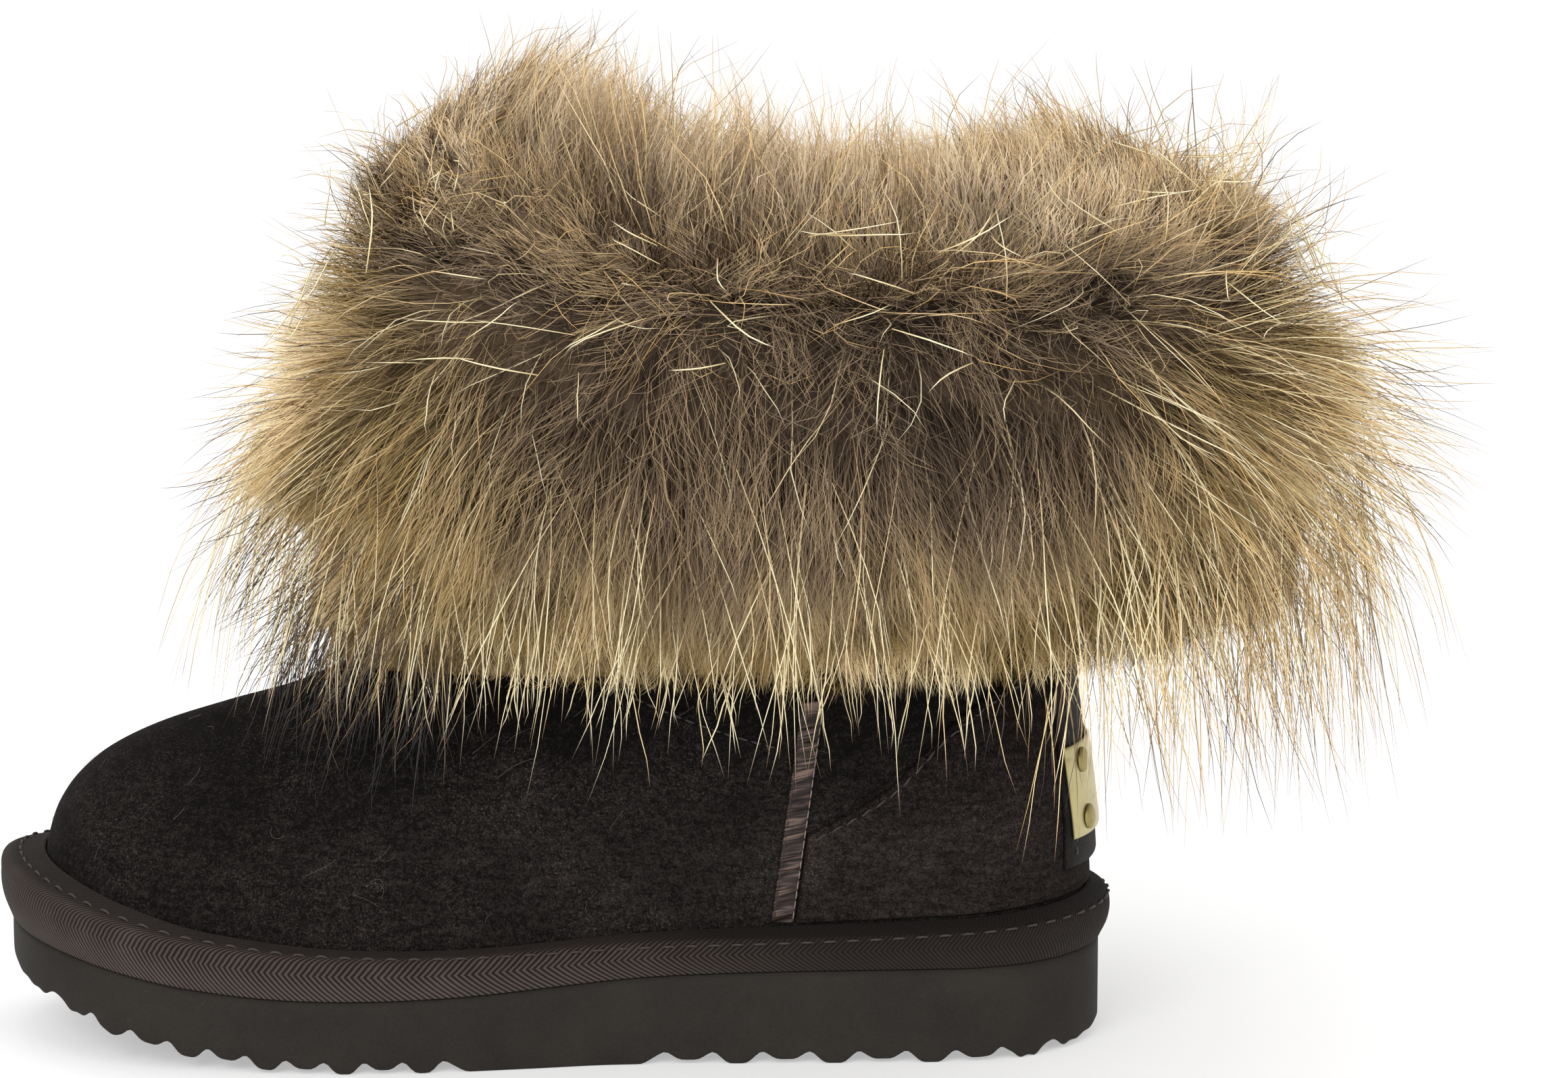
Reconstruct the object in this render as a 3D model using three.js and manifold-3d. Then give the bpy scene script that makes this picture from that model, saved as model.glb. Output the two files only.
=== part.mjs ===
// Left winter ankle boot: a suede upper with a fur cuff on a foam sole.
// Millimetres. +Z up, toe towards -X, outer side towards -Y, floor at z = 0.
import * as THREE from 'three';
import Module from 'manifold-3d';

const wasm = await Module();
wasm.setup();

const OUTER = -1;
const INNER = 1;
const SEAM_GAP = 0.3;

// Sole: outline ends, the round ends' starts, toe spring and tread.
const HEEL_END = 135.6;
const HEEL_ROUND_FROM = 97;
const TOE_END = -137.2;
const TOE_ROUND_FROM = -86;
const TOE_TIP_Y = 9;
const SPRING_FROM = -50;
const SPRING_RATE = 0.00228;
const SOLE_EDGE_BEVEL = 1;
const BALL_HALF = 50.2;

const SOLE_PLAN = [
  { x: -86, outer: 46.5, inner: 46.5 },
  { x: -66, outer: 49.6, inner: 48.2 },
  { x: -45, outer: 50.2, inner: 47 },
  { x: -25, outer: 48.2, inner: 42 },
  { x: -5, outer: 44.8, inner: 36 },
  { x: 15, outer: 41.2, inner: 32.4 },
  { x: 45, outer: 39.9, inner: 32.8 },
  { x: 75, outer: 39.3, inner: 36 },
  { x: 97, outer: 38.4, inner: 38 },
];

const SOLE_TOP = [
  { x: -138, z: 29 },
  { x: -121, z: 26.4 },
  { x: -104, z: 23.2 },
  { x: -85, z: 20 },
  { x: -66, z: 18.6 },
  { x: -45, z: 18.3 },
  { x: -20, z: 19 },
  { x: 5, z: 20.8 },
  { x: 30, z: 22.5 },
  { x: 65, z: 23.4 },
  { x: 100, z: 23.7 },
  { x: 136, z: 24.2 },
];

// Tread: crests alternate tall and short, with a flat patch under the waist.
const VALLEY_RISE = 2.4;
const SHORT_CREST_RISE = 1.2;
const CREST_TIP_SHARE = 0.4;
const FORE_TREAD = { first: -31.4, pitch: -9.6, crests: 10 };
const HEEL_TREAD = { first: 116.8, pitch: -11.9, crests: 8 };
const WAIST_PATCH = { heelEdge: 22, toeEdge: -21 };
const HEEL_LIFT = [
  { x: 126, rise: 0.7 },
  { x: 131, rise: 1.6 },
  { x: 134.4, rise: 2.5 },
  { x: 135.5, rise: 3.2 },
];
const TOE_LIFT = [
  { x: -126.4, rise: 0.6 },
  { x: -132, rise: 0.6 },
  { x: -135.6, rise: 1.2 },
  { x: -137.1, rise: 2.6 },
];
const END_STATIONS = [128.6, 133, 135, -129.4, -134, -136.5];

// Upper: one ring for each row, from the joint with the sole to the collar.
// keep: share of the sole top's sag. dip: drop at the sides. oval: foot outline (0) to oval (1).
// full: blunt heel of the oval. egg: narrow front of the oval.
const UPPER_WALL = 3;
const UPPER_RINGS = [
  { heelX: 131.2, heelZ: 24.5, toeX: -131, toeZ: 28.6, keep: 1, dip: 0, half: 45.6, oval: 0, full: 0.5, egg: 0, toeY: 9 },
  { heelX: 132, heelZ: 31, toeX: -131, toeZ: 36.5, keep: 1, dip: 2, half: 46.8, oval: 0, full: 0.5, egg: 0, toeY: 9 },
  { heelX: 132, heelZ: 37.2, toeX: -128.8, toeZ: 43.2, keep: 1, dip: 3.4, half: 46.6, oval: 0, full: 0.5, egg: 0, toeY: 9 },
  { heelX: 131.6, heelZ: 45, toeX: -127.6, toeZ: 48.8, keep: 0.9, dip: 3, half: 46.4, oval: 0.1, full: 0.5, egg: 0, toeY: 9 },
  { heelX: 131, heelZ: 54, toeX: -125.2, toeZ: 55.6, keep: 0.75, dip: 3, half: 46, oval: 0.25, full: 0.5, egg: 0, toeY: 8.5 },
  { heelX: 130, heelZ: 63, toeX: -120.4, toeZ: 62.6, keep: 0.6, dip: 3, half: 45.2, oval: 0.45, full: 0.48, egg: 0.02, toeY: 8 },
  { heelX: 128.8, heelZ: 72, toeX: -112.4, toeZ: 69.4, keep: 0.45, dip: 2.6, half: 44.4, oval: 0.7, full: 0.46, egg: 0.1, toeY: 7.5 },
  { heelX: 127.5, heelZ: 81, toeX: -100, toeZ: 75.6, keep: 0.3, dip: 2, half: 43.8, oval: 0.88, full: 0.42, egg: 0.22, toeY: 7 },
  { heelX: 126.5, heelZ: 90.5, toeX: -83.5, toeZ: 81.2, keep: 0.2, dip: 1.4, half: 43.6, oval: 1, full: 0.38, egg: 0.36, toeY: 6 },
  { heelX: 125.9, heelZ: 100.5, toeX: -63, toeZ: 87.4, keep: 0.1, dip: 0.8, half: 43.8, oval: 1, full: 0.32, egg: 0.43, toeY: 5 },
  { heelX: 125.6, heelZ: 111.5, toeX: -43, toeZ: 98.2, keep: 0, dip: 0, half: 44.6, oval: 1, full: 0.25, egg: 0.38, toeY: 3 },
  { heelX: 125.5, heelZ: 124, toeX: -27, toeZ: 113, keep: 0, dip: 0, half: 45.6, oval: 1, full: 0.18, egg: 0.26, toeY: 1.5 },
  { heelX: 125.5, heelZ: 140, toeX: -16, toeZ: 132, keep: 0, dip: 0, half: 46.6, oval: 1, full: 0.1, egg: 0.12, toeY: 0 },
  { heelX: 125.5, heelZ: 159, toeX: -10.8, toeZ: 154, keep: 0, dip: 0, half: 47.4, oval: 1, full: 0.04, egg: 0.03, toeY: 0 },
  { heelX: 125.5, heelZ: 178, toeX: -9.2, toeZ: 176, keep: 0, dip: 0, half: 48, oval: 1, full: 0, egg: 0, toeY: 0 },
  { heelX: 125.5, heelZ: 197, toeX: -9, toeZ: 197, keep: 0, dip: 0, half: 48, oval: 1, full: 0, egg: 0, toeY: 0 },
];
const COLLAR = UPPER_RINGS.length - 1;
const TAPE_TOP_RING = 2;
const ROUND_STEPS = 40;
const EXTRA_RINGS = [2.5, 4.5, 10.5];

// Welt tape: its outer face, out from the sole's edge and up as a share of its height.
const TAPE_EDGE = 1.3;
const TAPE_FACE = [
  { out: 1.6, up: 0.9 },
  { out: 2.8, up: 0.64 },
  { out: 2.4, up: 0.32 },
  { out: 0.5, up: 0 },
];

const INSOLE_THICK = 5;
const INSOLE_CLEAR = 0.6;

// Overlays on the upper.
const RIBBON = { footX: 56.2, footZ: 34, lean: THREE.MathUtils.degToRad(7.6), wide: 5.6, thick: 1.2, topZ: 92 };
const COUNTER_THICK = 1.2;
const COUNTER_EDGE = [
  { reach: 0, z: 99 },
  { reach: 0.45, z: 95 },
  { reach: 0.68, z: 84.5 },
  { reach: 0.83, z: 70.4 },
  { reach: 1, z: 58.5 },
];
const PATCH = { halfLow: 21, halfHigh: 17, lowZ: 44.6, highZ: 98, thick: 1.6 };
const PLATE = { half: 19.5, lowZ: 52, highZ: 75, thick: 0.8 };
const RIVET = { radius: 3.15, proud: 1.2, y: 13, lowZ: 56.4, highZ: 70.6, steps: 14 };
const PATCH_BASE = SEAM_GAP + COUNTER_THICK + SEAM_GAP;
const PLATE_BASE = PATCH_BASE + PATCH.thick + SEAM_GAP;
const RIVET_BASE = PLATE_BASE + PLATE.thick + SEAM_GAP;

// Fur cuff: the room that it leaves inside, its outer form and the locks on it.
const SHAFT_SPACE = [
  { ring: 4, clear: 4.6, lift: 0 },
  { ring: 5, clear: 4.6, lift: 0 },
  { ring: 6, clear: 4.6, lift: 0 },
  { ring: 7, clear: 4.6, lift: 0 },
  { ring: 8, clear: 4.6, lift: 0 },
  { ring: 9, clear: 4.6, lift: 0 },
  { ring: 10, clear: 3, lift: 0 },
  { ring: 10.5, clear: 1.4, lift: 0 },
  { ring: 11, clear: SEAM_GAP, lift: 0 },
  { ring: 12, clear: SEAM_GAP, lift: 0 },
  { ring: 13, clear: SEAM_GAP, lift: 0 },
  { ring: 14, clear: SEAM_GAP, lift: 0 },
  { ring: COLLAR, clear: SEAM_GAP, lift: 0 },
  { ring: COLLAR, clear: 1.5, lift: 8 },
  { ring: COLLAR, clear: 9, lift: 26 },
  { ring: COLLAR, clear: 26, lift: 60 },
];
const CUFF_FACE = [
  { place: 0, ring: COLLAR, reach: 9, lift: 20, front: 0.86 },
  { place: 1, ring: COLLAR, reach: 26, lift: 23, front: 0.86 },
  { place: 2, ring: COLLAR, reach: 46, lift: 15, front: 0.84 },
  { place: 3, ring: 14.6, reach: 62, lift: 4, front: 0.82 },
  { place: 4, ring: 14, reach: 74, lift: -1, front: 0.83 },
  { place: 5, ring: 13, reach: 80, lift: -4, front: 0.85 },
  { place: 6, ring: 11.9, reach: 77, lift: -5, front: 0.73 },
  { place: 7, ring: 10.9, reach: 64, lift: -6, front: 0.66 },
  { place: 8, ring: 10.2, reach: 41, lift: -7, front: 0.48 },
  { place: 9, ring: 9.9, reach: 17, lift: -6, front: 0.5 },
];
const CUFF_BACKING = [
  { ring: 10.4, reach: -4, lift: 0, front: 1 },
  { ring: 12, reach: -4, lift: 0, front: 1 },
  { ring: COLLAR, reach: -4, lift: 0, front: 1 },
];
const CUFF_SIDE_SHARE = 0.87;
const CUFF_CROWN = { side: 0.55, frontPeak: 0.75 };
const CUFF_STEPS = 24;
const LOCK_SIDES = 5;
const LOCK_SINK = 12;
// Locks lie along the cuff's face between two of its places, those above the parting upwards.
const LOCK_ROWS = [
  { from: 2.4, to: 1.5, count: 10, wide: 15, deep: 9, proud: 12, drop: -7, shift: 0.2 },
  { from: 3.1, to: 2.2, count: 10, wide: 19, deep: 10, proud: 13, drop: -9, shift: 0.7 },
  { from: 3.1, to: 5.1, count: 11, wide: 22, deep: 11, proud: 8, drop: 2, shift: 0.15 },
  { from: 4.3, to: 6.4, count: 11, wide: 22, deep: 11, proud: 8, drop: 5, shift: 0.6 },
  { from: 5.5, to: 7.6, count: 12, wide: 20, deep: 11, proud: 7, drop: 10, shift: 0.1 },
  { from: 6.8, to: 8.5, count: 12, wide: 16, deep: 10, proud: 3, drop: 20, shift: 0.5 },
];

const SUEDE = finish(0x2a1f1b, 0.95, 0);
const SUEDE_RAISED = finish(0x30241f, 0.93, 0);
const FOAM = finish(0x3b362e, 0.85, 0);
const TWILL = finish(0x39302b, 0.9, 0);
const FLEECE = finish(0x8a7a66, 1, 0);
const SATIN = finish(0x2d2320, 0.6, 0);
const LEATHER = finish(0x332721, 0.7, 0);
const BRASS_PALE = finish(0xb7a976, 0.35, 0.9);
const BRASS_DARK = finish(0x7c6c3a, 0.4, 0.9);
const FUR = finish(0x6f5a45, 1, 0);

function finish(color, roughness, metalness) {
  return new THREE.MeshStandardMaterial({ color, roughness, metalness });
}

// A smooth curve through one column of a table, against its key column.
function curve(rows, key, name) {
  const slope = (i) => {
    const a = rows[Math.max(i - 1, 0)];
    const b = rows[Math.min(i + 1, rows.length - 1)];
    return (b[name] - a[name]) / (b[key] - a[key]);
  };
  return (at) => {
    const last = rows.length - 2;
    let i = rows.findIndex((row, k) => k === last || at <= rows[k + 1][key]);
    i = Math.max(i, 0);
    const span = rows[i + 1][key] - rows[i][key];
    const t = THREE.MathUtils.clamp((at - rows[i][key]) / span, 0, 1);
    const t2 = t * t;
    const t3 = t2 * t;
    const fromStart = (2 * t3 - 3 * t2 + 1) * rows[i][name] + (t3 - 2 * t2 + t) * span * slope(i);
    const fromEnd = (3 * t2 - 2 * t3) * rows[i + 1][name] + (t3 - t2) * span * slope(i + 1);
    return fromStart + fromEnd;
  };
}

const outerHalf = curve(SOLE_PLAN, 'x', 'outer');
const innerHalf = curve(SOLE_PLAN, 'x', 'inner');
const soleTop = curve(SOLE_TOP, 'x', 'z');

// The sole's edge on one side at a place along it: round heel, shaped middle, round toe.
function soleEdge(x, side) {
  const half = side === OUTER ? outerHalf : innerHalf;
  if (x > HEEL_ROUND_FROM) {
    const along = Math.min((x - HEEL_ROUND_FROM) / (HEEL_END - HEEL_ROUND_FROM), 1);
    return side * half(HEEL_ROUND_FROM) * Math.sqrt(1 - along * along);
  }
  if (x < TOE_ROUND_FROM) {
    const along = Math.min((TOE_ROUND_FROM - x) / (TOE_ROUND_FROM - TOE_END), 1);
    const start = side * half(TOE_ROUND_FROM) - TOE_TIP_Y;
    return TOE_TIP_Y + start * Math.sqrt(1 - along * along);
  }
  return side * half(x);
}

function toeSpring(x) {
  const ahead = Math.max(SPRING_FROM - x, 0);
  return SPRING_RATE * ahead * ahead;
}

// The tread's height above the sprung floor line, as straight runs between crest edges.
function treadRuns() {
  const runs = [
    { x: WAIST_PATCH.heelEdge, rise: 0 },
    { x: WAIST_PATCH.toeEdge, rise: 0 },
    ...HEEL_LIFT,
    ...TOE_LIFT,
  ];
  for (const tread of [FORE_TREAD, HEEL_TREAD]) {
    const tip = (Math.abs(tread.pitch) * CREST_TIP_SHARE) / 2;
    for (let i = 0; i < tread.crests; i += 1) {
      const x = tread.first + i * tread.pitch;
      const rise = i % 2 === 0 ? 0 : SHORT_CREST_RISE;
      runs.push({ x: x - tip, rise }, { x: x + tip, rise });
      runs.push({ x: x + Math.abs(tread.pitch) / 2, rise: VALLEY_RISE });
    }
    const lastX = tread.first + (tread.crests - 1) * tread.pitch;
    runs.push({ x: lastX - Math.abs(tread.pitch) / 2, rise: VALLEY_RISE });
  }
  return runs.sort((a, b) => b.x - a.x);
}

const TREAD = treadRuns();

function treadHeight(x) {
  const i = Math.max(TREAD.findIndex((run) => run.x <= x), 1);
  const from = TREAD[i - 1];
  const to = TREAD[i];
  const share = (x - from.x) / (to.x - from.x);
  return toeSpring(x) + THREE.MathUtils.lerp(from.rise, to.rise, share);
}

// A closed mesh through sections of equal length: joined round, or closed at both ends.
function loft(sections, round) {
  const count = sections[0].length;
  const index = [];
  const at = (s, k) => (s % sections.length) * count + (k % count);
  const steps = round ? sections.length : sections.length - 1;
  for (let s = 0; s < steps; s += 1) {
    for (let k = 0; k < count; k += 1) {
      index.push(at(s, k), at(s + 1, k), at(s + 1, k + 1));
      index.push(at(s, k), at(s + 1, k + 1), at(s, k + 1));
    }
  }
  if (!round) {
    closeEnd(index, count, 0, false);
    closeEnd(index, count, (sections.length - 1) * count, true);
  }
  const geometry = new THREE.BufferGeometry();
  const positions = sections.flat().flatMap((point) => point.toArray());
  geometry.setAttribute('position', new THREE.Float32BufferAttribute(positions, 3));
  geometry.setIndex(index);
  return outward(geometry);
}

// Closes a section by pairing its points from both ends of the loop.
function closeEnd(index, count, base, turned) {
  const face = (a, b, c) => (turned ? index.push(base + a, base + c, base + b) : index.push(base + a, base + b, base + c));
  for (let low = 0, high = count - 1; high - low > 1; low += 1, high -= 1) {
    face(low, low + 1, high);
    if (high - low > 2) {
      face(low + 1, high - 1, high);
    }
  }
}

function outward(geometry) {
  const p = geometry.getAttribute('position');
  const index = geometry.getIndex().array;
  const a = new THREE.Vector3();
  const b = new THREE.Vector3();
  const c = new THREE.Vector3();
  let volume = 0;
  for (let i = 0; i < index.length; i += 3) {
    a.fromBufferAttribute(p, index[i]);
    b.fromBufferAttribute(p, index[i + 1]);
    c.fromBufferAttribute(p, index[i + 2]);
    volume += a.dot(b.cross(c));
  }
  if (volume < 0) {
    for (let i = 0; i < index.length; i += 3) {
      [index[i + 1], index[i + 2]] = [index[i + 2], index[i + 1]];
    }
  }
  return geometry;
}

// The upper's outer face: ring and angle (0 at the heel, pi at the toe, outer side first).
const ringCurves = Object.fromEntries(
  Object.keys(UPPER_RINGS[0]).map((name) => {
    const rows = UPPER_RINGS.map((row, ring) => ({ ring, value: row[name] }));
    return [name, curve(rows, 'ring', 'value')];
  }),
);

function upperFace(ring, angle) {
  const r = (name) => ringCurves[name](ring);
  const ahead = (1 - Math.cos(angle)) / 2;
  const side = Math.sin(angle) >= 0 ? OUTER : INNER;
  const x = THREE.MathUtils.lerp(r('heelX'), r('toeX'), ahead);
  const sag = soleTop(x) - THREE.MathUtils.lerp(soleTop(r('heelX')), soleTop(r('toeX')), ahead);
  const level = THREE.MathUtils.lerp(r('heelZ'), r('toeZ'), ahead);
  const z = level + r('keep') * sag - r('dip') * Math.sin(angle) ** 2;
  const footX = THREE.MathUtils.lerp(HEEL_END, TOE_END, ahead);
  const foot = (soleEdge(footX, side) * r('half')) / BALL_HALF;
  const round = 1 + r('full') * (1 - ahead) ** 4 - r('egg') * ahead ** 2;
  const oval = -Math.sin(angle) * r('half') * round + r('toeY') * ahead ** 3;
  return new THREE.Vector3(x, THREE.MathUtils.lerp(foot, oval, r('oval')), z);
}

function upperNormal(ring, angle) {
  const step = 0.02;
  const up = upperFace(Math.min(ring + step, COLLAR), angle).sub(upperFace(Math.max(ring - step, 0), angle));
  const along = upperFace(ring, angle + step).sub(upperFace(ring, angle - step));
  const normal = along.cross(up);
  const edge = Math.min(ring, COLLAR - ring, 1);
  normal.z *= edge;
  return normal.normalize().negate();
}

function offUpper(ring, angle, out) {
  return upperFace(ring, angle).addScaledVector(upperNormal(ring, angle), out);
}

// The ring that lies at a height, and the angle that lies at a place along or across the boot.
function search(low, high, above) {
  for (let i = 0; i < 40; i += 1) {
    const mid = (low + high) / 2;
    if (above(mid)) {
      high = mid;
    } else {
      low = mid;
    }
  }
  return (low + high) / 2;
}

function ringAtHeight(angle, z) {
  return search(0, COLLAR, (ring) => upperFace(ring, angle).z > z);
}

function angleAtLength(x, z) {
  return search(0, Math.PI, (angle) => upperFace(ringAtHeight(angle, z), angle).x < x);
}

function angleAtBreadth(y, z) {
  return search(0, Math.PI / 2, (angle) => -upperFace(ringAtHeight(angle, z), angle).y > y);
}

function outsole() {
  const stations = [...TREAD.map((run) => run.x), ...END_STATIONS].sort((a, b) => b - a);
  const sections = stations.map((x) => {
    const low = treadHeight(x);
    const top = soleTop(x);
    const edge = (side, inset, z) => {
      const y = soleEdge(x, side);
      const middle = (soleEdge(x, OUTER) + soleEdge(x, INNER)) / 2;
      const half = Math.abs(y - middle);
      return new THREE.Vector3(x, middle + side * half * (1 - inset / (half + inset)), z);
    };
    return [
      edge(OUTER, SOLE_EDGE_BEVEL, low),
      edge(OUTER, 0, low + SOLE_EDGE_BEVEL),
      edge(OUTER, 0, top),
      edge(INNER, 0, top),
      edge(INNER, 0, low + SOLE_EDGE_BEVEL),
      edge(INNER, SOLE_EDGE_BEVEL, low),
    ];
  });
  return loft(sections, false);
}

function roundAngles(steps) {
  return Array.from({ length: steps }, (_, i) => (i / steps) * Math.PI * 2);
}

function upper() {
  const rings = [...UPPER_RINGS.keys(), ...EXTRA_RINGS].sort((a, b) => a - b);
  const sections = roundAngles(ROUND_STEPS).map((angle) => {
    const outside = rings.map((ring) => offUpper(ring, angle, 0));
    const inside = rings.map((ring) => offUpper(ring, angle, -UPPER_WALL)).reverse();
    inside[inside.length - 1].z = soleTop(inside[inside.length - 1].x) + SEAM_GAP;
    outside[0].z = soleTop(outside[0].x) + SEAM_GAP;
    return [...outside, ...inside];
  });
  return loft(sections, true);
}

// A point out from the sole's edge, level with the sole's top.
function besideSole(angle, out) {
  const plan = (a) => {
    const x = THREE.MathUtils.lerp(HEEL_END, TOE_END, (1 - Math.cos(a)) / 2);
    return new THREE.Vector3(x, soleEdge(x, Math.sin(a) >= 0 ? OUTER : INNER), 0);
  };
  const step = 0.02;
  const along = plan(angle + step).sub(plan(angle - step)).normalize();
  const point = plan(angle).add(new THREE.Vector3(along.y, -along.x, 0).multiplyScalar(-out));
  point.z = soleTop(point.x) + SEAM_GAP;
  return point;
}

function weltTape() {
  const seatRings = [0.1, 0.7, 1.35, TAPE_TOP_RING];
  const sections = roundAngles(ROUND_STEPS).map((angle) => {
    const seat = seatRings.map((ring) => offUpper(ring, angle, SEAM_GAP));
    seat[0].z = soleTop(seat[0].x) + SEAM_GAP;
    const crown = offUpper(TAPE_TOP_RING, angle, SEAM_GAP + TAPE_EDGE);
    const face = TAPE_FACE.map((row) => {
      const point = besideSole(angle, row.out);
      point.z += row.up * (crown.z - point.z);
      return point;
    });
    return [...seat, crown, ...face];
  });
  return loft(sections, true);
}

function insole() {
  const steps = ROUND_STEPS / 2;
  const sections = [];
  for (let i = 1; i < steps; i += 1) {
    const angle = (i / steps) * Math.PI;
    const corner = (a, ring, up) => {
      const point = offUpper(ring, a, -UPPER_WALL - INSOLE_CLEAR);
      point.z = soleTop(point.x) + SEAM_GAP + up;
      return point;
    };
    const edge = (a) => [corner(a, 0.05, 0), corner(a, 0.8, INSOLE_THICK)];
    sections.push([...edge(angle), ...edge(-angle).reverse()]);
  }
  return loft(sections, false);
}

// A piece of even thickness lying on the upper: places(u, v) gives ring and angle.
function overlay(columns, rows, base, thick, places) {
  const sections = [];
  for (let i = 0; i <= columns; i += 1) {
    const under = [];
    const over = [];
    for (let j = 0; j <= rows; j += 1) {
      const { ring, angle } = places(i / columns, j / rows);
      under.push(offUpper(ring, angle, base));
      over.push(offUpper(ring, angle, base + thick));
    }
    sections.push([...under, ...over.reverse()]);
  }
  return loft(sections, false);
}

function tapeTopAt(angle) {
  return upperFace(TAPE_TOP_RING, angle).z + SEAM_GAP * 3;
}

function ribbonX(z) {
  return RIBBON.footX + Math.tan(RIBBON.lean) * (z - RIBBON.footZ);
}

function sideRibbon(side) {
  return overlay(2, 8, SEAM_GAP, RIBBON.thick, (u, v) => {
    const foot = tapeTopAt(angleAtLength(RIBBON.footX, RIBBON.footZ));
    const z = THREE.MathUtils.lerp(foot, RIBBON.topZ, v);
    const angle = angleAtLength(ribbonX(z) + (u - 0.5) * RIBBON.wide, z);
    return { ring: ringAtHeight(-side * angle, z), angle: -side * angle };
  });
}

function heelCounter() {
  const edge = curve(COUNTER_EDGE, 'reach', 'z');
  return overlay(30, 4, SEAM_GAP, COUNTER_THICK, (u, v) => {
    const turn = 1 - 2 * u;
    const front = (z) => angleAtLength(ribbonX(z) + RIBBON.wide / 2 + SEAM_GAP, z);
    let angle = turn * front(RIBBON.footZ);
    const z = THREE.MathUtils.lerp(tapeTopAt(angle), edge(Math.abs(turn)), v);
    angle = turn * front(z);
    return { ring: ringAtHeight(angle, z), angle };
  });
}

function heelPanel(size, base, columns, rows) {
  return overlay(columns, rows, base, size.thick, (u, v) => {
    const z = THREE.MathUtils.lerp(size.lowZ, size.highZ, v);
    const half = THREE.MathUtils.lerp(size.halfLow ?? size.half, size.halfHigh ?? size.half, v);
    const angle = (1 - 2 * u) * angleAtBreadth(half, z);
    return { ring: ringAtHeight(angle, z), angle };
  });
}

function rivet(side, z) {
  const angle = -side * angleAtBreadth(RIVET.y, z);
  const ring = ringAtHeight(angle, z);
  const foot = offUpper(ring, angle, RIVET_BASE);
  const axis = upperNormal(ring, angle);
  const turn = new THREE.Quaternion().setFromUnitVectors(new THREE.Vector3(0, 0, 1), axis);
  const dome = [
    { radius: 1, up: 0 },
    { radius: 0.95, up: 0.4 },
    { radius: 0.72, up: 0.8 },
    { radius: 0.34, up: 1 },
  ];
  const sections = dome.map((row) =>
    roundAngles(RIVET.steps).map((a) => {
      const r = RIVET.radius * row.radius;
      const point = new THREE.Vector3(r * Math.cos(a), r * Math.sin(a), RIVET.proud * row.up);
      return point.applyQuaternion(turn).add(foot);
    }),
  );
  return loft(sections, false);
}

// A point of the cuff, level out from the upper. The reach is least at the sides, the crown highest in front.
function cuffPoint(angle, row) {
  const ahead = (1 - Math.cos(angle)) / 2;
  const across = Math.sin(angle) ** 2;
  const point = upperFace(row.ring, angle);
  const out = upperNormal(row.ring, angle).setZ(0).normalize();
  const share = THREE.MathUtils.lerp(1, row.front, ahead) - (1 - CUFF_SIDE_SHARE) * across;
  point.addScaledVector(out, row.reach * share);
  const crown = 1 - (1 - CUFF_CROWN.side) * across + CUFF_CROWN.frontPeak * ahead ** 4;
  point.z += row.lift > 0 ? row.lift * crown : row.lift;
  return point;
}

const cuffRing = curve(CUFF_FACE, 'place', 'ring');
const cuffReach = curve(CUFF_FACE, 'place', 'reach');
const cuffLift = curve(CUFF_FACE, 'place', 'lift');
const cuffFront = curve(CUFF_FACE, 'place', 'front');

function cuffFace(angle, place, out) {
  const row = (p) => ({ ring: cuffRing(p), reach: cuffReach(p), lift: cuffLift(p), front: cuffFront(p) });
  const at = (a, p) => cuffPoint(a, row(p));
  const step = 0.05;
  const down = at(angle, place + step).sub(at(angle, place - step));
  const around = at(angle + step, place).sub(at(angle - step, place));
  const normal = around.clone().cross(down).normalize();
  return { point: at(angle, place).addScaledVector(normal, out), normal, around: around.normalize() };
}

// One lock: a flattened cone sunk in the cuff at its root, with its tip standing clear.
function furLock(angle, row) {
  const root = cuffFace(angle, row.from, -LOCK_SINK);
  const middle = cuffFace(angle, (row.from + row.to) / 2, 0);
  const tip = cuffFace(angle, row.to, row.proud);
  middle.point.z -= row.drop / 3;
  tip.point.z -= row.drop;
  const flow = tip.point.clone().sub(root.point).normalize();
  const over = middle.around.clone().cross(flow).normalize();
  const ring = (centre, share) =>
    roundAngles(LOCK_SIDES).map((a) =>
      centre.point
        .clone()
        .addScaledVector(middle.around, Math.cos(a) * row.wide * share)
        .addScaledVector(over, Math.sin(a) * row.deep * share),
    );
  return loft([ring(root, 0.8), ring(middle, 0.7), ring(tip, 0.06)], false);
}

function toManifold(geometry) {
  const vertProperties = new Float32Array(geometry.getAttribute('position').array);
  const triVerts = new Uint32Array(geometry.getIndex().array);
  return new wasm.Manifold(new wasm.Mesh({ numProp: 3, vertProperties, triVerts }));
}

function fromManifold(solid) {
  const mesh = solid.getMesh();
  const geometry = new THREE.BufferGeometry();
  geometry.setAttribute('position', new THREE.Float32BufferAttribute(mesh.vertProperties, mesh.numProp));
  geometry.setIndex(Array.from(mesh.triVerts));
  return geometry;
}

// The room that the cuff leaves for the upper, its overlays and the foot.
function shaftSpace() {
  const sections = SHAFT_SPACE.map((row) =>
    roundAngles(ROUND_STEPS).map((angle) => {
      const point = offUpper(row.ring, angle, row.clear);
      point.z += row.lift;
      return point;
    }),
  );
  return loft(sections, false);
}

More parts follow.
